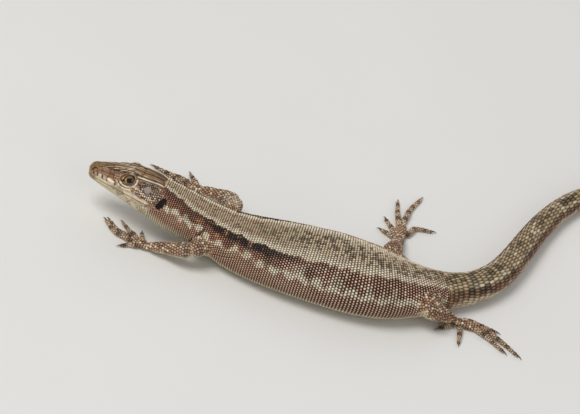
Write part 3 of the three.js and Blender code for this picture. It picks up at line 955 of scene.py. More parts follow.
@dataclass(frozen=True)
class TrunkMarkings:
    """Stripe, dark flank band, pale patches and back dashes of neck and trunk.

    Each is a band in the share of the way from back to belly, round a line that follows the
    station, broken up by random numbers that a whole scale shares.
    """

    seed: int = 5
    lean: float = 0.035  # how much lower the pattern lies on the right

    def at(self, station: Array, share: Array, side: Array, lot: Array) -> Markings:
        """Markings at places on neck and trunk.

        Args:
            station: distance along the back.
            share: way from back to belly, 0..1.
            side: -1 left, 1 right.
            lot: a random number 0..1 that each scale draws.

        Returns:
            The markings.
        """
        s, q = station, share + 0.012 * (lot - 0.5) - self.lean * (side > 0) * smooth(share, 0, 0.1)
        shift = self.seed + 11 * (side > 0)
        marks = Markings.blank(len(s))
        stripe = STRIPE_LINE(s) + 0.012 * (cloud(s / 1.3, shift, 3) - 0.5)
        edge = stripe + 0.014 + 0.03 * smooth(cloud(s / 0.9, shift, 7), 0.2, 0.6)
        patches = PATCH_LINE(s) + 0.016 * np.sin(s * 2.25 + 2 * shift)
        rearward = smooth(s, -8, 10)
        flank = smooth(q, edge - 0.004, edge + 0.004) * fall(q, patches - 0.01, patches + 0.01)
        low = smooth(q, patches, patches + 0.03) * fall(q, 0.6, 0.69)
        neck = fall(s, -19, -16)
        marks.add(
            rust=flank, black=flank * rearward * 0.18 * smooth(cloud(s / 1.3, q * 14, 19), 0.4, 0.7),
        )
        # The lower flank's rust is its own colour; the black on it is painted shade.
        marks.add(
            rust=low * 0.92 * mix(0.75, 1, cloud(s, q * 16, 9)), black=low * 0.08 * smooth(s, -8, 0),
            cream=flank * rearward * 0.6 * (chance(lot, seed=31) < 0.19),
            olive=fall(q, stripe - 0.045, stripe - 0.015) * mix(0.55, 0.2, rearward),
        )
        marks.add(olive=np.maximum(fall(q, 0.04, 0.11) * 0.45, smooth(s, 19, VENT) * 0.7))
        self.stripes(marks, s, q, stripe, patches, lot, shift)
        self.darks(marks, s, q, stripe, edge, lot, shift)
        near = [np.hypot(s - a, (q - b) * 16) for a, b in SPOTS]
        marks.add(orange=fall(np.min(near, 0), 0.22, 0.5))
        pale = smooth(q, 0.59, 0.71)
        marks.add(belly=np.maximum(pale, neck * smooth(q, 0.53, 0.66) * 0.8))
        # Painted highlight: how pale each scale's middle is painted, and how deeply its gaps are shaded.
        bead = 0.55 + 0.13 * rearward + 0.15 * band(q, stripe - 0.035, 0.03, 0.02)
        bead = bead + flank * mix(0.0, 0.5, smooth(s, -10, 2))
        bead = bead + low * mix(0.2, 0.3, smooth(s, -10, -2)) - 0.3 * pale - 0.25 * neck * low
        marks.add(bead=bead)
        return marks

    @staticmethod
    def stripes(marks: Markings, s: Array, q: Array, stripe: Array, patches: Array, lot: Array,
                shift: Array) -> None:
        """Pale stripe along the back's edge and the line of pale patches under the dark band.

        Args:
            marks: raised here.
            s: stations.
            q: shares of the way from back to belly.
            stripe: the stripe's share.
            patches: the patches' share.
            lot: each scale's random number.
            shift: sets the two sides apart.
        """
        blocks = 0.75 + 0.5 * smooth(cloud(s / 0.9, shift, 7), 0.2, 0.6)
        half = mix(0.018, 0.012, smooth(s, -6, 2))
        marks.add(cream=band(q, stripe, half, 0.01) * STRIPE_STRENGTH(s) * blocks)
        rows = smooth(chance(np.round(s / 0.48), seed=4), 0.3, 0.7)
        fringe = (q < stripe) * band(q, stripe, 0.02, 0.06) * rows
        marks.add(cream=fringe * 0.7 * STRIPE_STRENGTH(s))
        zone = band(q, stripe - 0.035, 0.03, 0.03) * smooth(s, -8, -3) * fall(s, 17, 21)
        marks.add(lilac=zone * 0.3)
        marks.add(cream=zone * mix(0.1, 0.75, smooth(cloud(s / 1.3, q * 15 + shift, 33), 0.4, 0.6)))
        broken = smooth(np.sin(s * 2.55 + shift) + 0.9 * (cloud(s / 1.6, q * 18, 21) - 0.5)
                        + 0.75 * smooth(s, -6, 0), -0.25, 0.25)
        behind = smooth(s, -17.2, -16.4)
        marks.add(cream=band(q, patches, 0.026, 0.02) * broken * mix(1, 0.85, lot) * behind)
        for station, share, radius in NECK_SPOTS:
            away = np.hypot(s - station, (q - share) * 12.5)
            marks.add(cream=fall(away, radius, radius + 0.25))
        bars = smooth(cloud(s / 0.7, shift + 0 * s, 41), 0.72, 0.8) * band(q, patches - 0.05, 0.05, 0.02)
        marks.add(cream=bars * 0.5 * smooth(s, -12, -8))

    @staticmethod
    def darks(marks: Markings, s: Array, q: Array, stripe: Array, edge: Array, lot: Array,
              shift: Array) -> None:
        """Black upper edge of the flank band, dashes on the back and spots along its middle.

        Args:
            marks: raised here.
            s: stations.
            q: shares of the way from back to belly.
            stripe: the stripe's share.
            edge: share where the dark band starts.
            lot: each scale's random number.
            shift: sets the two sides apart.
        """
        front = fall(s, -8, 1)
        reach = edge + mix(0.02, 0.075, front)
        upper = smooth(q, edge - 0.006, edge + 0.002) * fall(q, reach, reach + 0.055)
        blotch = smooth(cloud(s / 1.1, q * 20, 13) + 0.3 * front, 0.35, 0.6)
        strength = mix(1.0, 0.55, smooth(s, -7, 2)) * mix(0.55, 1, smooth(s, -19, -16))
        marks.add(black=upper * blotch * strength)
        crease = np.exp(-((s - collar_line(q)) / 0.2) ** 2)
        marks.add(black=crease * smooth(q, 0.31, 0.35) * fall(q, 0.6, 0.66) * 0.9)
        flank = smooth(q, edge, edge + 0.02) * fall(q, edge + 0.14, edge + 0.19)
        soft = flank * smooth(cloud(s / 1.7, q * 12, 17), 0.5, 0.75)
        marks.add(black=mix(0.45, 0.3, smooth(s, 0, 8)) * soft)
        back = fall(q, stripe - 0.05, stripe - 0.02)
        rear = smooth(s, -9, 8)
        marks.add(black=back * (chance(lot, seed=3) < mix(0.05, 0.17, rear) * (q < 0.11)) * 0.75)
        fleck = (chance(lot, seed=8) < 0.3) * band(q, 0.075, 0.03, 0.01) * fall(s, -10, -6)
        marks.add(rust=fleck * 0.8)
        step = 2.45
        index = np.floor((s + 9) / step)
        middle = (index + 0.5 + 0.5 * (chance(index, seed=12) - 0.5)) * step - 9
        signed = np.where(shift > 5, q, -q) - 0.07 * (chance(index, seed=14) - 0.5)
        spot = np.hypot((s - middle) / 0.7, signed * 17 / 0.8) + 0.55 * (chance(lot, seed=21) - 0.3)
        marks.add(black=fall(spot, 0.65, 0.9) * smooth(s, -12, -3) * 0.7)
        fine = smooth(cloud(s / 0.55, q * 26 + shift, 31), 0.58, 0.7) * fall(q, 0.07, 0.13)
        marks.add(black=fine * smooth(s, -12, -3) * mix(0.4, 0.9, lot))


@dataclass(frozen=True)
class TailMarkings:
    """Light stripe and dark side band of the tail's base, fading into brown whorls with pale dots."""

    whorl: float = 1.16

    def at(self, station: Array, share: Array, side: Array, lot: Array) -> Markings:
        """Markings at places on the tail, by station and share of the way from top to underside.

        Args:
            station: distance along the back.
            share: way from top to underside, 0..1.
            side: -1 left, 1 right.
            lot: a random number 0..1 that each scale draws.

        Returns:
            The markings.
        """
        s, q = station, share
        marks = Markings.blank(len(s))
        fading = fall(s, 46, 90)
        wave = 0.02 * np.sin(s * 2.1 + side)
        marks.add(olive=0.8)
        dark = smooth(q, 0.255 + wave, 0.285 + wave) * fall(q, 0.39 + wave, 0.44 + wave)
        ragged = smooth(cloud(s / 0.9, q * 9 + side, 27), 0.1, 0.5)
        ring = np.floor(s / self.whorl)
        dark = dark * mix(0.3, 1, ragged) * mix(0.45, 1, ring % 2)
        marks.add(black=dark * mix(0.25, 0.8, fading))
        marks.add(rust=smooth(q, 0.25, 0.35) * 0.55 * fall(q, 0.6, 0.8))
        blocks = smooth(cloud(s / 1.2, 3.0 + side, 9), 0.25, 0.55)
        stripe = band(q, STRIPE_LINE(s), 0.025, 0.03) * STRIPE_STRENGTH(s)
        marks.add(cream=stripe * mix(0.3, 1, blocks))
        bars = smooth(cloud(ring / 1.7, q * 5 + 3 * side, 15), 0.6, 0.75)
        marks.add(cream=bars * smooth(q, 0.42, 0.5) * 0.6)
        top = fall(q, 0.1, 0.16)
        marks.add(black=top * (chance(ring, seed=6) > 0.45) * 0.75 * (chance(lot, seed=2) < 0.5))
        # The last amount below is a painted highlight on each scale's middle, less towards the underside.
        marks.add(
            black=(chance(lot, seed=7) < 0.14) * 0.55 * fall(q, 0.5, 0.6),
            cream=(chance(lot, seed=9) < 0.16) * 0.45 * (q < 0.25), belly=smooth(q, 0.62, 0.78),
            bead=mix(0.35, 0.15, q),
        )
        return marks


@dataclass(frozen=True)
class LimbMarkings:
    """Brown limbs with pale dots and dark flecks, pale beneath; barred digits; a warm knee."""

    dot: float = 1.1

    def at(self, tube: Tube, number: int, share: Array, angle: Array, lot: Array) -> Markings:
        """Markings on one tube, by share of its length and angle from the top.

        Args:
            tube: the length of limb.
            number: the tube's index, which seeds its pattern.
            share: way along it, 0..1.
            angle: from the top.
            lot: a random number 0..1 that each scale draws.

        Returns:
            The markings.
        """
        along, around = share * tube.length, np.abs(angle) * max(tube.radii)
        marks = Markings.blank(len(share))
        hind = tube.name.endswith(("thigh", "shank"))
        under = smooth(np.abs(angle), 2.2 if hind else 1.75, 2.7 if hind else 2.3)
        digit = max(tube.radii) < 0.5
        i, j = np.floor(along / self.dot), np.floor(around / self.dot)
        middle = (i + 0.5 + 0.4 * (chance(i, j, number, seed=1) - 0.5)) * self.dot
        beside = (j + 0.5 + 0.4 * (chance(i, j, number, seed=2) - 0.5)) * self.dot
        dot = fall(np.hypot(along - middle, around - beside), 0.2, 0.42)
        marks.add(
            olive=0.65 if hind else 0.45, rust=0.45 + 0.4 * cloud(along, around, number), orange=0.1,
        )
        if digit:
            bars = smooth(np.sin(along * 3.1 + number), 0.1, 0.7)
            marks.add(black=bars * 0.55 * (1 - under) + 0.25 * (chance(lot, seed=4) < 0.3))
            marks.add(cream=(1 - bars) * 0.38 * (1 - under))
        else:
            marks.add(cream=dot * 0.85 * (chance(i, j, number, seed=3) < 0.75))
            dark = band(np.hypot(along - middle, around - beside), 0.55, 0.06, 0.1)
            marks.add(black=0.55 * dark * (chance(i, j, number, seed=5) < 0.6))
            marks.add(black=0.6 * (chance(lot, seed=4) < (0.2 if hind else 0.1)))
        if hind:
            toward_knee = share if tube.name.endswith("thigh") else 1 - share
            marks.add(orange=0.45 * smooth(toward_knee, 0.72, 0.95) * band(angle, 0, 1.0, 0.6))
        if tube.name.endswith(("upper_arm", "forearm")):
            elbow = smooth(share if "upper" in tube.name else 1 - share, 0.5, 0.9)
            marks.add(
                lilac=0.45 * elbow, cream=elbow * (0.4 if tube.name.startswith("right") else 0),
                black=0.7 * elbow * (chance(lot, seed=14) < 0.22),
            )
        marks.fade(1 - under, Tone.RUST)
        marks.fade(1 - 0.8 * under, Tone.BLACK)
        # The second amount is a painted highlight on each scale's middle, less underneath.
        marks.add(belly=under, bead=0.5 - 0.3 * under)
        return marks


@dataclass
class Pattern:
    """The one pattern that skin and scales share, looked up by body coordinates."""

    flesh: Flesh
    trunk: TrunkMarkings = TrunkMarkings()
    tail: TailMarkings = TailMarkings()
    limb: LimbMarkings = LimbMarkings()

    def at(self, where: Where, lot: Array) -> Markings:
        """Markings at places anywhere on the animal.

        Args:
            where: body coordinates of the places.
            lot: a random number 0..1 that all places on one scale share.

        Returns:
            The markings.
        """
        marks = Markings.blank(len(where.part))
        on_body = where.part == -1
        share = self.flesh.body.share_at(where.along, where.angle)
        side = np.where(where.angle < 0, -1.0, 1.0)
        for chosen, kind in ((on_body & (where.along < VENT), self.trunk),
                             (on_body & (where.along >= VENT), self.tail)):
            marks.put(chosen, kind.at(where.along[chosen], share[chosen], side[chosen], lot[chosen]))
        for number, tube in enumerate(self.flesh.tubes):
            chosen = where.part == number
            if chosen.any():
                marks.put(chosen, self.limb.at(tube, number, where.along[chosen], where.angle[chosen],
                                               lot[chosen]))
        return marks


# ---------------------------------------------------------------- meshes


@dataclass
class Shape:
    """Points in millimetres and faces as runs of corners, with a map and attributes.

    Attributes:
        points: one row for each point.
        corners: point numbers, face after face.
        starts: where each face's run begins.
        map: place of each corner on the unwrap, or None.
        marks: markings at each point, or None.
        grain: four numbers at each point (edge, lot, crown, wet), or None.
    """

    points: Array
    corners: Array
    starts: Array
    map: Array | None = None
    marks: Array | None = None
    grain: Array | None = None

    @staticmethod
    def joined(shapes: Sequence[Shape]) -> Shape:
        """Several shapes as one.

        Args:
            shapes: with the same attributes.

        Returns:
            The joined shape.
        """
        first = np.cumsum([0] + [len(s.points) for s in shapes])
        corner = np.cumsum([0] + [len(s.corners) for s in shapes])
        return Shape(
            np.concatenate([s.points for s in shapes]),
            np.concatenate([s.corners + n for s, n in zip(shapes, first)]),
            np.concatenate([s.starts + n for s, n in zip(shapes, corner)]),
            *(None if getattr(shapes[0], k) is None else np.concatenate([getattr(s, k) for s in shapes])
              for k in ("map", "marks", "grain")),
        )

    @staticmethod
    def from_grid(grid: Array, first: Array, last: Array) -> Shape:
        """A closed skin over a grid of rings, with a pole at each end.

        Args:
            grid: rings by sides by 3, going round to the right as seen along the rings' way.
            first: the pole before the first ring.
            last: the pole after the last.

        Returns:
            The closed shape.
        """
        rings, sides = grid.shape[:2]
        number = np.arange(rings * sides).reshape(rings, sides)
        turned = np.roll(number, -1, 1)
        quads = np.stack([number[:-1], turned[:-1], turned[1:], number[1:]], -1).reshape(-1)
        poles = rings * sides
        front = np.stack([np.full(sides, poles), turned[0], number[0]], -1).reshape(-1)
        rear = np.stack([np.full(sides, poles + 1), number[-1], turned[-1]], -1).reshape(-1)
        starts = np.arange(0, len(quads), 4)
        ends = len(quads) + np.arange(0, len(front) + len(rear), 3)
        points = np.concatenate([grid.reshape(-1, 3), [first, last]])
        return Shape(points, np.concatenate([quads, front, rear]), np.concatenate([starts, ends]))

    def to_object(self, name: str, material: bpy.types.Material) -> bpy.types.Object:
        """Makes the Blender object, in metres, at the origin.

        Args:
            name: of the object and its mesh.
            material: what it is made of.

        Returns:
            The object.
        """
        mesh = bpy.data.meshes.new(name)
        mesh.vertices.add(len(self.points))
        mesh.vertices.foreach_set("co", (self.points * MM).astype(np.float32).ravel())
        mesh.loops.add(len(self.corners))
        mesh.loops.foreach_set("vertex_index", self.corners.astype(np.int32))
        mesh.polygons.add(len(self.starts))
        mesh.polygons.foreach_set("loop_start", self.starts.astype(np.int32))
        mesh.update(calc_edges=True)
        mesh.polygons.foreach_set("use_smooth", np.ones(len(self.starts), bool))
        if self.map is not None:
            layer = mesh.uv_layers.new(name="OFBake")
            layer.uv.foreach_set("vector", self.map.astype(np.float32).ravel())
        for label, values in (("marks", self.marks), ("grain", self.grain)):
            if values is not None:
                for k in range(0, values.shape[1], 4):
                    title = label if k == 0 else f"{label}{k // 4 + 1}"
                    layer = mesh.attributes.new(title, "FLOAT_COLOR", "POINT")
                    layer.data.foreach_set("color", values[:, k:k + 4].astype(np.float32).ravel())
        mesh.validate()
        mesh.materials.append(material)
        made = bpy.data.objects.new(name, mesh)
        bpy.context.scene.collection.objects.link(made)
        return made


# ---------------------------------------------------------------- scales


@dataclass(frozen=True)
class ScaleForm:
    """Shape of one scale: a little dome over a rounded square, free at its rear edge.

    With u across and v along, both -1..1, the outline is u (1 - k v^2), v (1 - k u^2), drawn
    out behind by the point.  The crown is height (1 - u^2)^p (1 - v^2)^p, to which come a keel
    along the middle and a lean that lifts the rear.

    Attributes:
        rounding: k, from 0 for a square to 0.5 for a disc.
        height: crown over the skin, in millimetres.
        keel: how much the middle line stands over the rest.
        lean: how far the rear edge is lifted off the skin.
        point: how far the rear edge is drawn out, as a share of half the length.
        steps: faces each way.
        fullness: p, low for a flat top with steep sides.
    """

    rounding: float = 0.3
    height: float = 0.1
    keel: float = 0.03
    lean: float = 0.04
    point: float = 0.1
    steps: int = 4
    fullness: float = 0.6

    def template(self) -> tuple[Array, Array, Array, Array, Array]:
        """One scale's across, along and height, and the corners and starts of its faces.

        Returns:
            Places across and along, heights, corners and starts.
        """
        line = np.linspace(-1, 1, self.steps + 1)
        v, u = (g.ravel() for g in np.meshgrid(line, line, indexing="ij"))
        k = self.rounding
        behind = np.maximum(v, 0)
        across = u * np.sqrt(1 - 1.8 * k * v * v + 0.8 * k * k * v ** 4) * (1 - 0.6 * self.point * behind)
        along = v * np.sqrt(1 - 1.8 * k * u * u + 0.8 * k * k * u ** 4) \
            + self.point * (1 - np.abs(u)) * behind
        crown = ((1 - u * u) * (1 - v * v)) ** self.fullness
        height = self.height * crown + self.lean * (v + 1) / 2 - 0.03
        height += self.keel * np.maximum(0, 1 - 2.5 * np.abs(u)) * np.minimum(1, crown * 2 + behind)
        n = self.steps + 1
        number = np.arange(n * n).reshape(n, n)
        quads = np.stack([number[:-1, :-1], number[:-1, 1:], number[1:, 1:], number[1:, :-1]], -1)
        rim = np.concatenate([number[0, :-1], number[:-1, -1], number[-1, :0:-1], number[:0:-1, 0]])
        corners = np.concatenate([quads.reshape(-1), rim[::-1]])
        starts = np.arange(0, quads.size + 1, 4)
        return across, along, height, corners, starts


@dataclass
class ScaleBed:
    """Roots of many scales: where each sits, which way it lies, and its size and place on the map.

    Attributes:
        roots: points on the skin.
        normals: outward directions there.
        lies: directions in which the scales lie.
        lengths: length of each, in millimetres.
        widths: width of each.
        bends: radius of the surface across each.
        places: each root's place on an unwrap of the skin, 0..1 both ways.
        lots: a random number 0..1 for each.
        marks: markings at each root.
        order: number of each among all that were laid.
    """

    roots: Array
    normals: Array
    lies: Array
    lengths: Array
    widths: Array
    bends: Array
    places: Array
    lots: Array
    marks: Array
    order: Array

    def chosen(self, keep: Array) -> ScaleBed:
        """Only some of the scales."""
        return ScaleBed(*(getattr(self, name)[keep] for name in self.__dataclass_fields__))

    def dressed(self, form: ScaleForm, patch: float = 0.003) -> Shape:
        """All the scales as one shape, each bent over the surface as x^2 / 2r.

        Args:
            form: shape of one scale.
            patch: width of each scale's patch on the map.

        Returns:
            The joined scales.
        """
        across, along, height, corners, starts = form.template()
        side = unit(np.cross(self.lies, self.normals))
        lie = np.cross(self.normals, side)
        x = across * self.widths[:, None] / 2
        y = along * self.lengths[:, None] / 2
        vary = 0.85 + 0.3 * self.lots[:, None]
        size = np.minimum(1, self.widths / 0.4)[:, None]
        h = height * vary * size - x ** 2 / (2 * self.bends[:, None])
        points = (self.roots[:, None] + side[:, None] * x[..., None] + lie[:, None] * y[..., None]
                  + self.normals[:, None] * h[..., None])
        points[..., 2] = on_floor(points[..., 2])
        count, each = x.shape
        line = np.abs(np.linspace(-1, 1, form.steps + 1))
        edge = np.maximum(line[:, None], 0.85 * line).ravel()
        grain = np.zeros((count, each, 4))
        # The edge channel sets the painted highlight in a scale's middle and the painted shade at its rim.
        grain[..., 0] = edge
        grain[..., 1] = self.lots[:, None]
        grain[..., 2] = np.maximum(0, 1 - 2 * np.abs(across))
        spread = np.stack([across, along], -1) * patch / 2
        place = self.places[:, None] + spread
        first = np.arange(count)[:, None] * each
        return Shape(
            points.reshape(-1, 3),
            (corners + first).ravel(),
            (starts + np.arange(count)[:, None] * len(corners)).ravel(),
            place[:, corners].reshape(-1, 2),
            np.repeat(self.marks, each, 0),
            grain.reshape(-1, 4),
        )


@dataclass
class Coat:
    """Lays scales in rows over the flesh and drops those that another part covers."""

    flesh: Flesh
    pattern: Pattern
    seed: int = 7

    def bed(self, points: Array, ahead: Array, lengths: Array, widths: Array, bends: Array,
            places: Array, owner: int) -> ScaleBed:
        """Scales at points near the skin, settled on it and marked.

        Args:
            points: roots on one part's own surface.
            ahead: points a little further along the lie.
            lengths: length of each scale.
            widths: width of each.
            bends: radius of the surface across each.
            places: place of each on the unwrap.
            owner: -1 for the body, else the tube that they belong to.

        Returns:
            Those scales that this part shows.
        """
        others = np.delete(self.flesh.fields(points)[0], owner + 1, 0)
        near = others.min(0) > -0.7
        settled = points.copy()
        settled[near] = self.flesh.settle(points[near])
        distance = self.flesh.fields(settled)[0]
        keep = near & (distance[owner + 1] <= distance.min(0) + 0.08)
        settled, points, ahead, lengths, widths, bends, places = (
            v[keep] for v in (settled, points, ahead, lengths, widths, bends, places))
        normals = self.flesh.normals(settled)
        lots = chance(points[:, 0], points[:, 1], points[:, 2], seed=self.seed)
        where = self.flesh.level(settled)[2]
        marks = self.pattern.at(where, lots).amounts
        return ScaleBed(settled, normals, unit(ahead - points), lengths, widths, bends, places, lots, marks,
                        np.flatnonzero(keep))

    def rows(self, pitch: Curve, first: float, last: float) -> Array:
        """Stations from first to last, a pitch apart: equal steps of the integral of 1 / pitch.

        Args:
            pitch: distance between rows against station.
            first: where the rows start.
            last: where they end.

        Returns:
            The rows' stations.
        """
        fine = np.linspace(first, last, 2000)
        density = 1 / pitch(fine)
        counted = np.concatenate([[0], np.cumsum((density[1:] + density[:-1]) / 2 * np.diff(fine))])
        return np.interp(np.arange(0, counted[-1]), counted, fine)

    def on_body(self, stations: Array, counts: Array, low: Array, high: Array, pitches: Array,
                stagger: float = 0.5, wide: float = 1.08, long: float = 1.15) -> ScaleBed:
        """Cross rows of scales on head, neck, trunk or tail.

        Args:
            stations: one for each row.
            counts: scales in each row.
            low: share of the way round where each row begins, -1..1.
            high: share where it ends.
            pitches: distance between rows.
            stagger: how far every other row is shifted, in scales.
            wide: width of a scale over its room.
            long: length of a scale over the pitch.

        Returns:
            The scales.
        """
        body = self.flesh.body
        row = np.repeat(np.arange(len(stations)), counts)
        column = np.arange(len(row)) - np.repeat(np.cumsum(counts) - counts, counts)
        step = (high - low) / counts
        share = low[row] + (column + 0.5 + stagger * (row % 2)) * step[row]
        share = np.where(share > 1, share - 2, share)
        most = counts.max()
        table = np.zeros((len(stations), most))
        table[row, column] = share
        angle = body.angle_at(stations, table)[row, column]
        station = stations[row]
        points = body.surface(station, angle, -self.flesh.coat_depth(station))
        ahead = body.surface(station + 0.3, angle, -self.flesh.coat_depth(station))
        widths = 2 * body.girth(station) * step[row] / 2 * wide
        bends = np.maximum(body.radius(station, angle), 0.3)
        places = np.stack([(row + 0.5) / len(stations), (column + 0.5) / most], -1) * 0.98 + 0.01
        return self.bed(points, ahead, pitches[row] * long, widths, bends, places, -1)

    def on_tube(self, number: int, pitch: float, width: float, chart: tuple[int, int]) -> ScaleBed:
        """Rings of scales on one length of limb.

        Args:
            number: the tube.
            pitch: distance between rings.
            width: wanted width of a scale.
            chart: which column of the map it takes, and how many there are.

        Returns:
            The scales.
        """
        tube = self.flesh.tubes[number]
        straight = tube.length * (tube.last - tube.first)
        ends = tube.radius(np.array([tube.first, tube.last])) - tube.depth
        quarter = np.pi / 2
        first, last = -quarter * ends[0], straight + quarter * ends[1]
        walked = np.arange(0.4 * pitch + first, last - 0.2 * pitch, pitch)
        count = len(walked)
        turn = np.clip(walked / ends[0], -1.55, 0) + np.clip((walked - straight) / ends[1], 0, 1.55)
        past = np.where(walked < 0, ends[0], ends[1]) * np.sin(turn)
        share = tube.first + (np.clip(walked, 0, straight) + past) / tube.length
        around = np.rint(2 * np.pi * (tube.radius(share) - tube.depth) * np.cos(turn) / width)
        around = np.maximum(3, around).astype(int)
        row = np.repeat(np.arange(count), around)
        column = np.arange(len(row)) - np.repeat(np.cumsum(around) - around, around)
        angle = (column + 0.5 * (row % 2)) / around[row] * 2 * np.pi
        middle = tube.point(share[row])
        round_ = np.cos(turn[row])[:, None]
        points = middle + (tube.surface(share[row], angle, -tube.depth) - middle) * round_
        ahead = points + tube.frame(share[row])[0]
        real = 2 * np.pi * (tube.radius(share[row]) - tube.depth) * round_[:, 0] / around[row] * 1.1
        lengths = np.full(len(row), pitch * 1.25)
        chart_width = 1 / chart[1]
        places = np.stack([chart_width * (chart[0] + 0.08 + 0.84 * (column + 0.5) / around.max()),
                           0.02 + 0.96 * (row + 0.5) / count], -1)
        return self.bed(points, ahead, lengths, real, tube.radius(share[row]), places, number)


# ---------------------------------------------------------------- skin


COAT_START = Curve((
    (0, -25.3), (0.24, -25.1), (0.3, -23.9), (0.38, -24.0), (0.46, -24.8), (0.52, -26.2), (0.7, -27.0),
))


def ear_distance(station: Array, share: Array) -> Array:
    """Distance from the middle of the ear opening over its size: 1 on the rim of a leaning oval.

    Args:
        station: distance along the back.
        share: way from back to belly, of either sign.

    Returns:
        The distance over the opening's size.
    """
    along = station - EAR_STATION
    down = (np.abs(share) - EAR_SHARE) * EAR_GIRTH
    long = EAR_LEAN[0] * down - EAR_LEAN[1] * along
    wide = EAR_LEAN[0] * along + EAR_LEAN[1] * down
    return np.hypot(long / EAR_SIZE[0], wide / EAR_SIZE[1])


@dataclass
class Skin:
    """One skin over head, trunk, tail, limbs and digits, under the scales.

    Attributes:
        flesh: the joined form that it lies on.
        pattern: the markings that it shares with the scales.
        voxel: grain of the remesh that joins the parts, in millimetres.
        rings: of the body's closed tube.
        sides: of the body's closed tube.
        tube_rings: of a limb's tube, between its rounded ends.
        tube_sides: of a limb's tube.
    """

    flesh: Flesh
    pattern: Pattern
    voxel: float = 0.25
    rings: int = 440
    sides: int = 64
    tube_rings: int = 14
    tube_sides: int = 16

    def source(self) -> Shape:
        """Closed tubes for the body and every length of limb, which overlap where they join.

        Returns:
            The overlapping closed tubes.
        """
        body = self.flesh.body
        station, angle = ring_grid(np.linspace(NOSE + 0.12, TAIL_TIP - 0.1, self.rings), self.sides)
        grid = body.surface(station, angle, -self.flesh.coat_depth(station))
        ends = grid[[0, -1]].mean(1)
        shapes = [Shape.from_grid(grid, *ends)]
        rounding = np.radians([80, 55, 30, 10])
        for tube in self.flesh.tubes:
            cap = tube.radius(np.array([tube.first, tube.last])) - tube.depth
            share = np.concatenate([
                tube.first - cap[0] * np.sin(rounding) / tube.length,
                np.linspace(tube.first, tube.last, self.tube_rings),
                tube.last + cap[1] * np.sin(rounding[::-1]) / tube.length,
            ])
            size = np.concatenate([np.cos(rounding), np.ones(self.tube_rings), np.cos(rounding[::-1])])
            share, turn = ring_grid(share, self.tube_sides)
            middle = tube.point(share)
            out = tube.surface(share, turn, -tube.depth) - middle
            grid = middle + out * size[:, None, None]
            shapes.append(Shape.from_grid(grid, *grid[[0, -1]].mean(1)))
        return Shape.joined(shapes)

    def remeshed(self, source: Shape) -> tuple[Shape, Array]:
        """The source joined into one skin, with its edges as pairs of point numbers.

        Args:
            source: closed shapes that overlap.

        Returns:
            The joined shape and its edges.
        """
        plain = bpy.data.materials.new("scratch")
        scratch = source.to_object("skin_source", plain)
        change = scratch.modifiers.new("join", "REMESH")
        change.mode, change.voxel_size = "VOXEL", self.voxel * MM
        mesh = scratch.evaluated_get(bpy.context.evaluated_depsgraph_get()).to_mesh()
        points = np.empty(len(mesh.vertices) * 3)
        corners, starts = np.empty(len(mesh.loops), int), np.empty(len(mesh.polygons), int)
        edges = np.empty(len(mesh.edges) * 2, int)
        mesh.vertices.foreach_get("co", points)
        mesh.loops.foreach_get("vertex_index", corners)
        mesh.polygons.foreach_get("loop_start", starts)
        mesh.edges.foreach_get("vertices", edges)
        bpy.data.objects.remove(scratch)
        bpy.data.materials.remove(plain)
        return Shape(points.reshape(-1, 3) / MM, corners, starts), edges.reshape(-1, 2)

    @staticmethod
    def relaxed(points: Array, edges: Array, rounds: int, share: float = 0.5) -> Array:
        """Points moved towards the mean of their neighbours.

        Args:
            points: the skin's points.
            edges: pairs of point numbers.
            rounds: how many times.
            share: of the way that each point moves.

        Returns:
            The moved points.
        """
        count = len(points)
        both = np.concatenate([edges, edges[:, ::-1]])
        number = np.bincount(both[:, 0], minlength=count)[:, None]
        for _ in range(rounds):
            total = np.stack([np.bincount(both[:, 0], points[both[:, 1], k], count) for k in range(3)], 1)
            points = mix(points, total / np.maximum(number, 1), share)
        return points

    def unwrapped(self, shape: Shape, along: Array, angle: Array, part: Array) -> Array:
        """Each corner's place on a map of charts: the body along the foot, each tube in a cell above.

        Args:
            shape: the skin.
            along: place along each part, for every point.
            angle: angle round each part.
            part: which part each point is on.

        Returns:
            Places 0..1 both ways.
        """
        sizes = np.diff(np.append(shape.starts, len(shape.corners)))
        chart = np.repeat(part[shape.corners[shape.starts]], sizes)
        first = np.repeat(shape.corners[shape.starts], sizes)
        here, turn = along[chart, shape.corners], angle[chart, shape.corners]
        start = angle[chart, first]
        turn = start + (turn - start + np.pi) % (2 * np.pi) - np.pi
        round_share = (turn + np.pi) / (2 * np.pi)
        body = np.stack([0.01 + 0.98 * (here - NOSE) / (TAIL_TIP - NOSE), 0.02 + 0.56 * round_share], 1)
        columns = 16
        row, column = np.divmod(chart - 1, columns)
        tube = np.stack([(column + 0.08 + 0.84 * here) / columns,
                         0.63 + 0.19 * row + 0.15 * round_share], 1)
        return np.clip(np.where((chart == 0)[:, None], body, tube), 0, 1)

    def build(self, material: bpy.types.Material) -> bpy.types.Object:
        """Joins, smooths and settles the skin, hollows the ears and writes map and markings.

        Args:
            material: what it is made of.

        Returns:
            The skin's object.
        """
        shape, edges = self.remeshed(self.source())
        points = shape.points
        for rounds in (3, 2, 1):
            points = self.flesh.settle(self.relaxed(points, edges, rounds), 1, 0.3)
        distance, _, along, angle = self.flesh.fields(points)
        part = np.argmin(distance, 0)
        _, way, where = self.flesh.level(points)
        share = self.flesh.body.share_at(where.along, where.angle)
        inside = fall(ear_distance(where.along, share), 0.9, 1.15) * (where.part == -1)
        points = points - way * (0.5 * inside)[:, None]
        points[:, 2] = np.maximum(points[:, 2], 0)
        lots = chance(*np.floor(points / 0.45).T, seed=3)
        shape.points = points
        shape.marks = self.pattern.at(where, lots).amounts
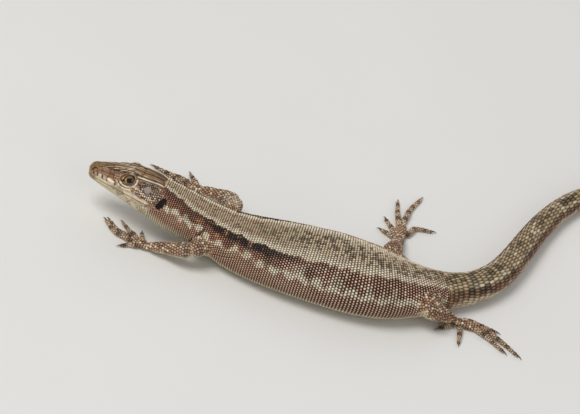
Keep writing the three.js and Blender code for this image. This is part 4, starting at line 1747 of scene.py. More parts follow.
        # An edge of 0.8 darkens the skin between the scales with the gap colour, partly as painted shade.
        shape.grain = np.tile([0.8, 0.5, 0.0, 0.0], (len(points), 1))
        shape.map = self.unwrapped(shape, along, angle, part)
        LOG.info("skin: %d points, %d faces", len(points), len(shape.starts))
        return shape.to_object("skin", material)


# ---------------------------------------------------------------- head


class Kind(Enum):
    """What sort of shield or scale a place on the head carries."""

    CROWN = 0
    BROW = 1
    CHEEK = 2
    UPPER_LIP = 3
    LOWER_LIP = 4
    CHIN = 5
    TEMPLE = 6
    DRUM_PLATE = 7
    GRANULE = 8


# Shields as short lines on the head, from (back, share) to (back, share) with a radius: back is
# the distance from the nose and share the way from crown to throat.  Each is mirrored.
SHIELDS: dict[Kind, tuple[tuple[float, float, float, float, float], ...]] = {
    Kind.CROWN: (
        (0.3, 0.0, 0.3, 0.3, 0.35), (0.95, 0.1, 1.1, 0.2, 0.2), (1.9, 0.0, 1.9, 0.07, 0.45),
        (3.0, 0.07, 3.4, 0.13, 0.35), (4.5, 0.0, 6.6, 0.0, 0.5), (7.9, 0.05, 8.4, 0.07, 0.3),
        (9.4, 0.0, 10.3, 0.0, 0.12), (11.6, 0.0, 11.8, 0.0, 0.15), (9.9, 0.09, 12.0, 0.085, 0.7),
        (4.4, 0.15, 4.5, 0.16, 0.15), (5.4, 0.13, 5.7, 0.15, 0.42), (6.9, 0.13, 7.2, 0.14, 0.42),
        (8.4, 0.16, 8.5, 0.165, 0.12),
    ),
    Kind.BROW: (
        (4.3, 0.225, 4.9, 0.225, 0.1), (5.4, 0.22, 5.8, 0.218, 0.1), (6.3, 0.215, 6.7, 0.212, 0.1),
        (7.2, 0.21, 7.6, 0.21, 0.1), (8.1, 0.208, 8.5, 0.205, 0.1), (9.2, 0.2, 10.3, 0.19, 0.22),
        (11.1, 0.18, 11.5, 0.175, 0.2), (12.3, 0.165, 12.6, 0.16, 0.2),
    ),
    Kind.CHEEK: (
        (0.9, 0.28, 1.0, 0.34, 0.2), (1.75, 0.26, 1.8, 0.34, 0.2), (2.8, 0.25, 2.9, 0.35, 0.4),
        (4.0, 0.27, 4.1, 0.38, 0.15), (8.7, 0.26, 8.8, 0.28, 0.15), (8.7, 0.34, 8.9, 0.36, 0.15),
    ),
    Kind.UPPER_LIP: (
        (0.5, 0.46, 0.8, 0.46, 0.05), (1.2, 0.46, 1.5, 0.46, 0.05), (1.9, 0.46, 2.4, 0.46, 0.05),
        (2.8, 0.46, 3.3, 0.46, 0.05), (3.75, 0.46, 4.75, 0.46, 0.05), (5.3, 0.475, 7.7, 0.475, 0.05),
        (8.3, 0.475, 9.0, 0.475, 0.05), (9.6, 0.475, 10.3, 0.475, 0.05), (10.9, 0.475, 11.2, 0.475, 0.05),
    ),
    Kind.LOWER_LIP: (
        (0.8, 0.6, 0.8, 0.64, 0.2), (1.9, 0.59, 2.0, 0.64, 0.3), (3.1, 0.58, 3.2, 0.63, 0.3),
        (4.5, 0.57, 4.6, 0.62, 0.35), (6.0, 0.565, 6.1, 0.61, 0.35), (7.6, 0.56, 7.8, 0.6, 0.35),
        (9.3, 0.555, 9.5, 0.59, 0.3),
    ),
    Kind.CHIN: (
        (0.4, 0.7, 0.4, 1.0, 0.4), (1.7, 0.75, 1.8, 0.92, 0.5), (3.2, 0.74, 3.3, 0.92, 0.6),
        (5.0, 0.72, 5.2, 0.9, 0.7), (7.0, 0.69, 7.3, 0.8, 0.6), (8.9, 0.66, 9.3, 0.73, 0.45),
    ),
    Kind.DRUM_PLATE: ((10.45, 0.32, 10.55, 0.32, 0.42),),
}
HEAD_GIRTH = 12.0  # millimetres round the head for one whole share, where lines and nostrils are
NOSTRIL_BACK, NOSTRIL_SHARE = 1.0, 0.27
LIP_BARS = (-37.2, -36.5, -35.6, -34.7, -33.2)
# Lines over the head: tone, from (station, share) to (station, share), half width and amount.
HEAD_LINES = (
    (Tone.CREAM, -36, 0.2, -35.6, 0.145, 0.05, 0.8),
    (Tone.CREAM, -35.6, 0.145, -34.2, 0.075, 0.05, 0.8),
    (Tone.CREAM, -34.2, 0.075, -31.2, 0.03, 0.05, 0.7),
    (Tone.CREAM, -34.2, 0.165, -33.1, 0.1, 0.06, 0.8),
    (Tone.CREAM, -33.1, 0.1, -31.2, 0.07, 0.06, 0.85),
    (Tone.CREAM, -31.2, 0.07, -29.8, 0.11, 0.06, 0.7), (Tone.BLACK, -34, 0.105, -32, 0.05, 0.04, 0.7),
    (Tone.BLACK, -32.8, 0.125, -31, 0.1, 0.04, 0.7), (Tone.CREAM, -33.1, 0.205, -32.1, 0.15, 0.05, 0.8),
    (Tone.CREAM, -32.1, 0.15, -30.9, 0.145, 0.05, 0.8),
    (Tone.BLACK, -32.6, 0.2, -31.7, 0.175, 0.05, 0.8),
    (Tone.BLACK, -31.7, 0.175, -30.4, 0.175, 0.06, 0.8),
    (Tone.BLACK, -34.6, 0.27, -33.6, 0.24, 0.07, 0.5), (Tone.RUST, -34.9, 0.305, -34.2, 0.3, 0.2, 0.8),
    (Tone.RUST, -30.3, 0.225, -29.6, 0.235, 0.16, 0.9),
    (Tone.BLACK, -30, 0.255, -29.3, 0.25, 0.09, 0.9), (Tone.CREAM, -29.9, 0.2, -27, 0.168, 0.12, 0.9),
    (Tone.CREAM, -27, 0.168, -24, 0.105, 0.12, 0.95),
    (Tone.BLACK, -29.8, 0.225, -26.3, 0.185, 0.03, 0.8),
    (Tone.LILAC, -29.4, 0.243, -26.2, 0.207, 0.11, 0.9),
    (Tone.BLACK, -29.2, 0.262, -26.2, 0.23, 0.05, 0.9),
    (Tone.BLACK, -28.6, 0.235, -28.5, 0.25, 0.05, 0.9),
    (Tone.BLACK, -27.3, 0.22, -27.2, 0.235, 0.05, 0.9),
    (Tone.CREAM, -30.2, 0.365, -28.4, 0.405, 0.16, 0.95),
    (Tone.CREAM, -28.4, 0.405, -26.5, 0.425, 0.2, 0.9), (Tone.RUST, -30, 0.448, -28.3, 0.452, 0.3, 0.8),
    (Tone.LILAC, -29.7, 0.448, -28.8, 0.452, 0.2, 0.5),
    (Tone.RUST, -28.5, 0.462, -28.3, 0.462, 0.12, 0.9),
    (Tone.RUST, -27.2, 0.46, -26.2, 0.46, 0.14, 0.8), (Tone.CREAM, -29.4, 0.505, -27.4, 0.5, 0.16, 0.7),
    (Tone.CREAM, -23.9, 0.4, -23, 0.39, 0.3, 1), (Tone.CREAM, -32.6, 0.468, -30.6, 0.452, 0.12, 0.9),
    (Tone.RUST, -32.4, 0.495, -30.6, 0.485, 0.14, 0.45),
    (Tone.CREAM, -34.4, 0.45, -33.8, 0.47, 0.34, 1),
    (Tone.LILAC, -26.9, 0.29, -25.3, 0.235, 0.07, 0.95),
    (Tone.LILAC, -26.8, 0.322, -25.2, 0.27, 0.07, 0.95),
    (Tone.LILAC, -26.7, 0.352, -25.3, 0.305, 0.06, 0.9), (Tone.RUST, -27, 0.305, -25.3, 0.252, 0.05, 1),
    (Tone.RUST, -26.9, 0.337, -25.3, 0.288, 0.05, 1), (Tone.BLACK, -37.3, 0.3, -37.6, 0.4, 0.1, 0.8),
    (Tone.LILAC, -36.9, 0.32, -37.2, 0.4, 0.1, 0.7), (Tone.BLACK, -35.9, 0.3, -33.9, 0.31, 0.2, 0.6),
    (Tone.LILAC, -35.5, 0.285, -35, 0.29, 0.12, 0.6),
)
# Arcs on the lids: tone, 1 for the lower and 0 for the upper lid, amount, ring number, half width.
LID_ARCS = (
    (Tone.CREAM, 1, 0.4, 1.4, 0.06), (Tone.CREAM, 1, 1.0, 2.2, 0.14), (Tone.CREAM, 1, 0.8, 3.0, 0.14),
    (Tone.BLACK, 1, 1.0, 1.02, 0.12), (Tone.BLACK, 1, 0.8, 1.8, 0.1), (Tone.BLACK, 1, 0.9, 2.6, 0.13),
    (Tone.CREAM, 0, 0.8, 1.7, 0.1), (Tone.BLACK, 0, 1.0, 1.12, 0.2), (Tone.BLACK, 0, 0.7, 2.05, 0.1),
)
BALL_RADIUS = 1.12
EYE_GAZE = (0.2, 0.16)  # how far the eye looks forward and up, over straight out
EYE_TILT = 0.42  # how far the front corner of the opening turns down, in radians
EYE_OPENING = (0.68, 0.98, 0.47)  # half widths behind and before its middle, and half height
EYE_RINGS = (0.6, 0.75, 0.5)  # the same for the first of the lids' rings


@dataclass
class Socket:
    """Where one eye sits: its centre and the directions out, back and up from it.

    Attributes:
        body: the body surface.
        side: -1 left, 1 right.
    """

    body: Body
    side: int

    def __post_init__(self) -> None:
        """Works out the eye's frame from the head's."""
        station, out = np.array([EYE_STATION]), np.array([self.side * EYE_OUT])
        height = np.array([MOUTH_HEIGHT + EYE_RISE])
        self.centre = self.body.place(station, out, height)[0]
        across = self.body.place(station, out + self.side, height)[0] - self.centre
        back = self.body.place(station + 1, out, height)[0] - self.centre
        up = self.body.place(station, out, height + 1)[0] - self.centre
        gaze = unit(across - EYE_GAZE[0] * back + EYE_GAZE[1] * up)
        self.gaze = gaze
        level = unit(back - gaze * (back @ gaze))
        rise = np.cross(gaze, level) * np.sign(np.cross(gaze, level) @ up)
        self.back = np.cos(EYE_TILT) * level + np.sin(EYE_TILT) * rise
        self.up = np.cos(EYE_TILT) * rise - np.sin(EYE_TILT) * level

    def oval(self, points: Array) -> tuple[Array, Array, Array, Array, Array]:
        """Distance from the centre, over the opening's oval, ring number, and way back and up.

        Args:
            points: places in millimetres.

        Returns:
            Those five numbers for each point.
        """
        away = points - self.centre
        reach = np.linalg.norm(away, axis=1)
        away = away * (BALL_RADIUS / reach)[:, None]
        back, up, out = away @ self.back, away @ self.up, away @ self.gaze
        rear, front, high = EYE_OPENING
        half = high * (1 - 0.7 * smooth(-back, 0.4, front))
        over = np.hypot(back / np.where(back > 0, rear, front), up / half)
        back, up = back * reach / BALL_RADIUS, up * reach / BALL_RADIUS
        rear, front, high = EYE_RINGS
        ring = np.hypot(back / np.where(back > 0, rear, front), up / high)
        far = 9.0
        return reach, np.where(out > 0, over, far), np.where(out > 0, ring, far), back, up


@dataclass
class Head:
    """Shields, small scales, lids, lips and nostrils of the head, as one fine relief.

    The relief is a grid over the head.  Every place belongs to the nearest shield; the seam
    between two shields is a groove where the distances to both are the same.

    Attributes:
        flesh: the joined form under the scales.
        rows: rings of the grid.
        sides: places in a ring.
        granule: pitch of the small scales, in millimetres.
        last: station of the last ring.
        ear_depth: of the ear opening, in millimetres.
    """

    flesh: Flesh
    rows: int = 250
    sides: int = 384
    granule: float = 0.4
    last: float = -22.9
    ear_depth: float = 0.62

    def sites(self) -> tuple[Array, Array, Array, Array]:
        """Ends, radii and kinds of all shields and small scales, in millimetres on the head.

        Returns:
            Starts, ends, radii and kinds.
        """
        lines, kinds = [], []
        for kind, shields in SHIELDS.items():
            for b0, q0, b1, q1, radius in shields:
                centred = q0 == 0 or q1 == 1
                for side in (1,) if centred else (-1, 1):
                    start = -(q1 if q0 == 0 else q0) if centred else side * q0
                    end = -start if centred else side * q1
                    lines.append((NOSE + b0, start, NOSE + b1, end, radius))
                    kinds.append(kind.value)
        lines, kinds = np.array(lines), np.array(kinds)
        starts, ends = self.on_skin(lines[:, 0], lines[:, 1]), self.on_skin(lines[:, 2], lines[:, 3])
        small, small_kinds = self.granules()
        gaps = self.gap(small, starts, ends, lines[:, 4])
        keep = gaps.min(1) > 0.13
        small = small[keep]
        zero = np.zeros(len(small))
        return (np.concatenate([starts, small]), np.concatenate([ends, small]),
                np.concatenate([lines[:, 4], zero]), np.concatenate([kinds, small_kinds[keep]]))

    def granules(self) -> tuple[Array, Array]:
        """Centres and kinds of the small scales of lids, temples, cheeks, nape and throat.

        Returns:
            Centres and kinds.
        """
        stations, shares, kinds = [], [], []
        for index, station in enumerate(np.arange(NOSE + 3.5, self.last + 0.5, self.granule * 0.9)):
            around = float(self.flesh.body.girth(station))
            count = int(2 * around / self.granule)
            share = (np.arange(count) + 0.5 * (index % 2)) / count * 2 - 1
            q = np.abs(share)
            temple = (station > -29.5) & (q > 0.2) & (q < 0.46)
            lid = (station > -33.9) & (station < -29) & (q > 0.235) & (q < 0.45)
            throat = (q > 0.6) & (station > -33.5)
            wanted = temple | lid | throat | (station > -25.6) | ((station > -27) & (q > 0.44))
            spread = 0.35 * (chance(share, station, seed=2) - 0.5) * self.granule
            stations.append(station + spread[wanted])
            shares.append(share[wanted])
            kinds.append(np.where(temple, Kind.TEMPLE.value, Kind.GRANULE.value)[wanted])
        return self.on_skin(np.concatenate(stations), np.concatenate(shares)), np.concatenate(kinds)

    def on_skin(self, station: Array, share: Array) -> Array:
        """Points on the head's outline by station and signed share of the way round."""
        angle = self.flesh.body.angle_at(station, share[:, None])[:, 0]
        return self.flesh.body.surface(station, angle)

    @staticmethod
    def gap(points: Array, starts: Array, ends: Array, radii: Array) -> Array:
        """Distance of each point from each rounded line: |p - nearest place on it| - radius.

        Args:
            points: places in millimetres.
            starts: the lines' first ends.
            ends: their other ends.
            radii: their radii.

        Returns:
            A row of distances for each point.
        """
        along = ends - starts
        square = np.maximum((along ** 2).sum(1), 1e-9)
        away = points[:, None] - starts[None]
        share = np.clip((away * along).sum(-1) / square, 0, 1)
        return np.linalg.norm(away - share[..., None] * along, axis=-1) - radii

    def nearest(
        self, points: Array, sites: tuple[Array, Array, Array, Array]
    ) -> tuple[Array, Array, Array]:
        """For each point the nearest site, its distance, and how far the seam is.

        Args:
            points: places in millimetres.
            sites: what sites() gives.

        Returns:
            Site numbers, distances and seam distances.
        """
        owner = np.empty(len(points), int)
        own, seam = np.empty(len(points)), np.empty(len(points))
        for start in range(0, len(points), 2048):
            part = slice(start, start + 2048)
            gaps = self.gap(points[part], *sites[:3])
            rows = np.arange(len(gaps))
            best = gaps.argmin(1)
            owner[part], own[part] = best, gaps[rows, best]
            gaps[rows, best] = 99
            seam[part] = (gaps.min(1) - own[part]) / 2
        return owner, own, seam

    def build(self, material: bpy.types.Material) -> bpy.types.Object:
        """Lays the relief over the head and paints shields, lids, lips, nostrils and ears, with painted
        shade in ears, nostrils and mouth.

        Args:
            material: what it is made of.

        Returns:
            The object.
        """
        body = self.flesh.body
        along = np.linspace(0, 1, self.rows)
        back = (self.last - NOSE) * (0.35 * along ** 2 + 0.65 * along)
        station = NOSE + back
        share = np.linspace(-1, 1, self.sides, endpoint=False)
        angle = body.angle_at(station, np.broadcast_to(share, (self.rows, self.sides)))
        wide_station = np.broadcast_to(station[:, None], angle.shape)
        covered = smooth(wide_station, COAT_START(np.abs(share)) + 0.1, COAT_START(np.abs(share)) + 0.4)
        covered = covered * smooth(ear_distance(wide_station, share), 1.25, 1.45)
        under = self.flesh.coat_depth(wide_station) + 0.06
        under += 0.4 * smooth(wide_station, self.last - 0.5, self.last)
        grid = body.surface(wide_station, angle, -mix(0.11, under, covered))
        flat = grid.reshape(-1, 3)
        q, s = np.broadcast_to(np.abs(share), angle.shape).ravel(), wide_station.ravel()
        side = np.broadcast_to(np.sign(share), angle.shape).ravel()
        normal = unit(np.cross(np.roll(grid, -1, 1) - np.roll(grid, 1, 1),
                               np.gradient(grid, axis=0))).reshape(-1, 3)
        normal *= np.sign((normal * (flat - body.place(s, 0 * s, body.centre(s)))).sum(1))[:, None]
        sites = self.sites()
        owner, own, seam = self.nearest(flat, sites)
        kind = sites[3][owner]
        lots = chance(owner, seed=5)
        small = kind >= Kind.TEMPLE.value
        groove = smooth(seam, 0, np.where(small, 0.16, 0.1))
        relief = (groove - 1) * np.where(small, 0.09, 0.075)
        rough = smooth(s, -37.4, -36.0) * (cloud(s * 1.2, q * 60, 3) - 0.5)
        relief += np.where(kind == Kind.CROWN.value, 0.02 * rough, 0)
        marks = self.painted(kind, s, q, side, lots, seam)
        relief += self.lips(marks, s, q)
        relief += self.nostrils(marks, s, q)
        ear = ear_distance(s, q)
        relief -= self.ear_depth * fall(ear, 0.84, 1.0)
        relief += 0.06 * band(ear, 1.15, 0.1, 0.15)
        # Painted shade round and in the ear opening.
        marks.add(black=fall(ear, 0.9, 1.05))
        points = flat + normal * relief[:, None]
        ringed = np.zeros(len(s))
        for turn in (-1, 1):
            points = self.lids(Socket(body, turn), points, marks, side == turn, ringed)
        strength = np.select([kind == Kind.TEMPLE.value, small, kind <= Kind.BROW.value,
                              kind == Kind.CHEEK.value], [1.0, 0.8, 0.85, 0.8], 0.65)
        calm = 1 - 0.85 * ringed
        grain = np.stack([(1 - groove) * strength * calm, lots, groove * small * 0.5, 0 * s], 1)
        ends = points[:self.sides].mean(0), points[-self.sides:].mean(0)
        shape = Shape.from_grid(points.reshape(grid.shape), *ends)
        shape.marks = np.concatenate([marks.amounts, marks.amounts[[0, -1]]])
        shape.grain = np.concatenate([grain, grain[[0, -1]]])
        shape.map = self.unwrapped(shape)
        return shape.to_object("head_scales", material)

    def unwrapped(self, shape: Shape) -> Array:
        """Each corner's place on the map: distance from the nose by the way round.

        Args:
            shape: the relief.

        Returns:
            Places 0..1 both ways.
        """
        number = shape.corners
        last = self.rows * self.sides
        row = np.where(number < last, number // self.sides, np.where(number == last, 0, self.rows - 1))
        column = (number % self.sides).astype(float)
        sizes = np.diff(np.append(shape.starts, len(number)))
        first = np.repeat(column[shape.starts + 1], sizes)
        column = np.where(number >= last, first, column)
        column = np.where(first - column > self.sides / 2, column + self.sides, column)
        column = np.where(column - first > self.sides / 2, column - self.sides, column)
        return np.stack([0.01 + 0.98 * row / self.rows, 0.01 + 0.97 * (column + 1) / (self.sides + 1)], 1)

    @staticmethod
    def painted(kind: Array, s: Array, q: Array, side: Array, lots: Array, seam: Array) -> Markings:
        """Markings of the head by kind of shield, with the lines that run over it.

        Args:
            kind: what each place belongs to.
            s: stations.
            q: shares of the way from crown to throat.
            side: -1 left, 1 right.
            lots: a random number 0..1 that each shield draws.
            seam: distance to the nearest seam, in millimetres.

        Returns:
            The markings.
        """
        marks = Markings.blank(len(s))
        crown, brow, cheek, upper, lower, chin, temple, drum, grain = (kind == k.value for k in Kind)
        lip = (q > 0.405) & (q < 0.515) & (s < -30.3)
        cheek, upper = cheek & ~lip, (upper & (s >= -30.3)) | lip
        near_seam = fall(seam, 0.05, 0.2)
        steady = smooth(s, -37.6, -36.3)
        streak = mix(0.5, cloud(s * 0.45, q * side * 40 + 0.5, 41), steady)
        fine = mix(0.5, cloud(s * 2.1, q * side * 110, 14), steady)
        top = crown | brow
        marks.add(olive=top * mix(0.75, 1.0, smooth(streak, 0.2, 0.5)))
        behind = smooth(s, -36.6, -35.6)
        marks.add(
            rust=top * behind * (0.15 + 0.35 * smooth(fine, 0.45, 0.8) + 0.3 * near_seam),
            black=top * behind * (0.7 * smooth(streak, 0.5, 0.75) + 0.3 * near_seam),
            cream=top * 0.45 * behind * fall(streak, 0.1, 0.26), olive=cheek * 0.8,
            lilac=cheek * 0.7 * smooth(cloud(s, q * 20, 2), 0.4, 0.6),
        )
        marks.add(
            rust=cheek * (0.5 * smooth(cloud(s, q * 20, 12), 0.4, 0.7) + 0.6 * near_seam),
            cream=upper * mix(0.22, 0.62, lots), lilac=upper * 0.35 * (lots < 0.6),
        )
        bars = upper * np.max([band(s - 1.5 * (q - 0.46), bar, 0.09, 0.12) for bar in LIP_BARS], 0)
        marks.add(
            olive=upper * 0.6, rust=upper * (bars + 0.35 * smooth(fine, 0.4, 0.8)),
            black=upper * 0.5 * bars,
        )
        marks.fade(1 - bars, Tone.CREAM)
        blot = smooth(cloud(s * 1.1, q * 16, 23), 0.5, 0.65) * (s > -36)
        marks.add(
            cream=lower * 0.58 * (1 - 0.9 * blot), rust=lower * (0.5 * near_seam + 0.65 * blot),
            lilac=lower * 0.4 * blot, olive=lower * 0.7, belly=lower * 0.4 + chin,
        )
        marks.add(
            rust=temple * mix(0.75, 1.0, lots), cream=temple * (lots > 0.7) * 0.55,
            black=temple * (lots < 0.4) * 0.55, lilac=drum,
        )
        throat = smooth(q, 0.5, 0.6)
        marks.add(belly=grain * throat)
        patchy = smooth(cloud(s * 1.3, q * 13, 71), 0.35, 0.6) * fall(q, 0.68, 0.8)
        marks.add(rust=(grain * 0.6 + chin * 0.3) * throat * patchy)
        marks.fade(1 - 0.6 * (grain | chin) * throat * patchy, Tone.BELLY)
        marks.add(rust=grain * (1 - throat) * 0.75, black=grain * throat * (lots < 0.12) * 0.4)
        smear = (upper | lower) * smooth(cloud(s * 1.7, q * 26, 61), 0.45, 0.7)
        marks.add(rust=smear * 0.45, lilac=smear * 0.45)
        lips = smooth(q, 0.35, 0.5)
        tip = fall(s, -37.4 + 0.3 * lips, -36.4 + 0.7 * lips)
        marks.fade(1 - 0.85 * tip, Tone.CREAM, Tone.BELLY)
        marks.add(olive=tip * 0.85, rust=tip * 0.25 * lips)
        for tone, s0, q0, s1, q1, half, amount in HEAD_LINES:
            along, across = (s1 - s0), (q1 - q0) * HEAD_GIRTH
            x, y = s - s0, (q - q0) * HEAD_GIRTH
            t = np.clip((x * along + y * across) / (along ** 2 + across ** 2), 0, 1)
            on = fall(np.hypot(x - t * along, y - t * across), half, half + 0.1)
            marks.fade(1 - on * amount, Tone.CREAM, Tone.BLACK, Tone.RUST, Tone.LILAC)
            marks.lift(tone, on * amount)
        neck = smooth(s, -24.6, -24.0) * (q < 0.5) * (q > 0.17)
        # The second amount is a painted highlight on temple scales and granules.
        marks.add(rust=neck * 0.9, bead=np.where(temple, 0.3, np.where(grain, 0.3, 0.0)))
        return marks

    def lips(self, marks: Markings, s: Array, q: Array) -> Array:
        """Groove of the closed mouth, from the nose to the corner of the mouth.

        Args:
            marks: painted shade in the groove.
            s: stations.
            q: shares of the way from crown to throat.

        Returns:
            The relief it adds, in millimetres.
        """
        body = self.flesh.body
        stations = np.linspace(NOSE, self.last, 60)
        lips = body.half_outline(stations)[:, 3, 0]
        angle = np.pi / 2 + np.arctan2(NOSE_TIP_RISE, lips * 0.995)
        line = np.interp(s, stations, body.share_at(stations, angle))
        away = np.abs(q - line) * body.girth(s)
        open_ = fall(s, MOUTH_CORNER - 0.4, MOUTH_CORNER) * smooth(s, NOSE + 0.05, NOSE + 0.3)
        # Painted shade along the mouth's groove.
        marks.add(black=fall(away, 0.03, 0.12) * open_ * 0.6)
        groove, rim = np.exp(-(away / 0.09) ** 2), np.exp(-((away - 0.25) / 0.15) ** 2)
        return -0.16 * groove * open_ + 0.05 * rim * open_

    @staticmethod
    def nostrils(marks: Markings, s: Array, q: Array) -> Array:
        """Round pits on either side of the nose, with a soft rim.

        Args:
            marks: painted shade in the pits.
            s: stations.
            q: shares of the way from crown to throat.

        Returns:
            The relief they add, in millimetres.
        """
        away = np.hypot(s - NOSE - NOSTRIL_BACK, (q - NOSTRIL_SHARE) * HEAD_GIRTH)
        # Painted shade in the nostril pits.
        marks.add(black=fall(away, 0.19, 0.35))
        return -0.28 * fall(away, 0.1, 0.26) + 0.04 * band(away, 0.34, 0.05, 0.1)

    @staticmethod
    def lids(socket: Socket, points: Array, marks: Markings, near: Array, ringed: Array) -> Array:
        """Lids wrapped over the eyeball, open in an oval, with folds and coloured arcs round it.

        Near the eye the skin stands at least a lid's thickness outside the ball; inside the
        oval it falls behind the ball, and outside it rings of folds die away.  The arcs are
        bands of the ring number: distance from the oval's middle over its size, on a flat
        plane before the eye.

        Args:
            socket: the eye.
            points: the head's surface.
            marks: markings there, repainted round the eye.
            near: which places are on the eye's side.
            ringed: share of the lids' folds in each place, raised here.

        Returns:
            The moved points.
        """
        reach, over, ring, back, up = socket.oval(points)
        chosen = near & (ring < 4.2) & (reach < 3.2)
        way = unit(points - socket.centre)
        lid = BALL_RADIUS + 0.08
        wave = np.cos(2 * np.pi * (ring - 2.35))
        fold = 0.05 * wave * band(ring, 2.4, 0.8, 0.6)
        rim = 0.07 * np.exp(-((over - 1.08) / 0.09) ** 2)
        wanted = np.maximum(reach, lid) + fold + rim
        wanted = mix(wanted, np.minimum(wanted, BALL_RADIUS - 0.3), fall(over, 0.93, 1.02))
        moved = socket.centre + way * wanted[:, None]
        points = np.where(chosen[:, None], moved, points)
        lower = smooth(-up, -0.25, 0.15)
        front = smooth(-back, -0.1, 0.5)
        most = mix(mix(1.9, 2.3, front), mix(2.35, 3.2, front), lower)
        inside = chosen * fall(ring, most, most + 0.3)
        marks.fade(1 - inside, *Tone)
        marks.add(
            olive=inside, rust=inside * 0.3, lilac=inside * lower * 0.6 * fall(ring, 1.6, 1.8),
        )
        broken = mix(0.45, 1, smooth(cloud(back * 3, up * 3, 51), 0.2, 0.5))
        for tone, share, amount, middle, half in LID_ARCS:
            where = lower if share > 0 else 1 - lower
            marks.lift(tone, inside * where * amount * broken * band(ring, middle, half, 0.1))
        marks.add(black=chosen * fall(over, 1.0, 1.06))
        taper = np.clip(1 + (back + 0.75) / 1.0, 0.02, 1)
        corner = (back < -0.5) * fall(np.abs(up) / (0.32 * taper), 0.8, 1.25)
        marks.add(black=chosen * corner * (taper > 0.05))
        ringed[:] = np.maximum(ringed, inside)
        return points


@dataclass
class Eyes:
    """The two eyeballs, built in rings about the gaze, with a slightly bulging front.

    Attributes:
        body: the body surface.
        rings: of a ball.
        sides: of a ball.
        bulge: of the front, as a share of the radius.
    """

    body: Body
    rings: int = 40
    sides: int = 48
    bulge: float = 0.05

    def build(self, material: bpy.types.Material) -> list[bpy.types.Object]:
        """One ball for each side; its grain holds the distance from the gaze and the way round.

        Args:
            material: what it is made of.

        Returns:
            Left and right ball.
        """
        made = []
        for side, name in ((-1, "left"), (1, "right")):
            socket = Socket(self.body, side)
            polar, turn = ring_grid(np.linspace(0.03, np.pi - 0.03, self.rings), self.sides)
            reach = BALL_RADIUS * (1 + self.bulge * np.exp(-(polar / 0.45) ** 2))
            ahead = (reach * np.cos(polar))[..., None]
            aside = (reach * np.sin(polar))[..., None]
            turned = np.cos(turn)[..., None] * socket.back + np.sin(turn)[..., None] * socket.up * side
            grid = socket.centre + ahead * socket.gaze + aside * turned
            pole = socket.gaze * BALL_RADIUS
            shape = Shape.from_grid(grid, socket.centre + (1 + self.bulge) * pole, socket.centre - pole)
            away = np.concatenate([aside.ravel(), [0, 0]])
            away[len(away) // 2:] = 2.0
            round_ = np.concatenate([(turn / (2 * np.pi)).ravel(), [0, 0]])
            shape.grain = np.stack([away, round_, 0 * away, 0 * away], 1)
            made.append(shape.to_object(f"eyeball_{name}", material))
        return made


@dataclass
class Eardrums:
    """A dark membrane, slightly hollow, at the bottom of each ear opening.

    Attributes:
        body: the body surface.
        depth: of the membrane under the head's outline, in millimetres.
        half: its half length and half width.
        sizes: of its rings, as shares of the half sizes, from its face to its back.
        lifts: of the same rings, in millimetres.
    """

    body: Body
    depth: float = 0.42
    half: tuple[float, float] = (1.5, 0.55)
    sizes: tuple[float, ...] = (0.1, 0.35, 0.6, 0.85, 1.0, 0.9, 0.5, 0.1)
    lifts: tuple[float, ...] = (0.0, 0.02, 0.04, 0.06, 0.04, 0.0, -0.03, -0.03)

    def build(self, material: bpy.types.Material) -> list[bpy.types.Object]:
        """One thin closed disc for each side, of rings with a share of its size and a lift each.

        Args:
            material: what it is made of.

        Returns:
            Left and right drum.
        """
        made = []
        for side, name in ((-1, "left"), (1, "right")):
            size, turn = ring_grid(np.array(self.sizes), 24)
            layer = np.array(self.lifts)[:, None]
            long, wide = self.half[0] * size * np.cos(turn), self.half[1] * size * np.sin(turn) * side
            station = EAR_STATION - EAR_LEAN[1] * long + EAR_LEAN[0] * wide
            share = EAR_SHARE + (EAR_LEAN[0] * long + EAR_LEAN[1] * wide) / EAR_GIRTH
            angle = self.body.angle_at(station.ravel(), (side * share).reshape(-1, 1)).reshape(share.shape)
            grid = self.body.surface(station, angle, layer - self.depth)
            shape = Shape.from_grid(grid, grid[0].mean(0), grid[-1].mean(0))
            made.append(shape.to_object(f"tympanum_{name}", material))
        return made


@dataclass
class Claws:
    """Twenty curved claws, each a narrow cone that goes on where a digit's flesh stops.

    Attributes:
        flesh: whose digits carry the claws.
        base: half height at the root, in millimetres.
        arch: how far the middle is raised, in millimetres.
    """

    flesh: Flesh
    base: float = 0.2
    arch: float = 0.16

    def build(self, material: bpy.types.Material) -> bpy.types.Object:
        """All the claws as one piece.

        Args:
            material: what it is made of.

        Returns:
            The object.
        """
        shapes = []
        for tube in self.flesh.tubes:
            if tube.stop == 1:
                continue
            share, turn = ring_grid(np.linspace(0, 1, 9), 10)
            along = tube.stop - 0.06 + (1.06 - tube.stop) * share
            _, across, above = tube.frame(along)
            reach = (self.base * (1 - share) ** 0.8 + 0.02)[..., None]
            arch = (self.arch * np.sin(np.pi * share) - 0.02)[..., None] * np.array([0, 0, 1.0])
            grid = tube.point(along) + arch - across * reach * 0.7 * np.sin(turn)[..., None] \
                + above * reach * np.cos(turn)[..., None]
            grid[..., 2] = np.maximum(grid[..., 2], 0.01)
            shapes.append(Shape.from_grid(grid, grid[0].mean(0), grid[-1].mean(0)))
        return Shape.joined(shapes).to_object("claws", material)


# ---------------------------------------------------------------- coats


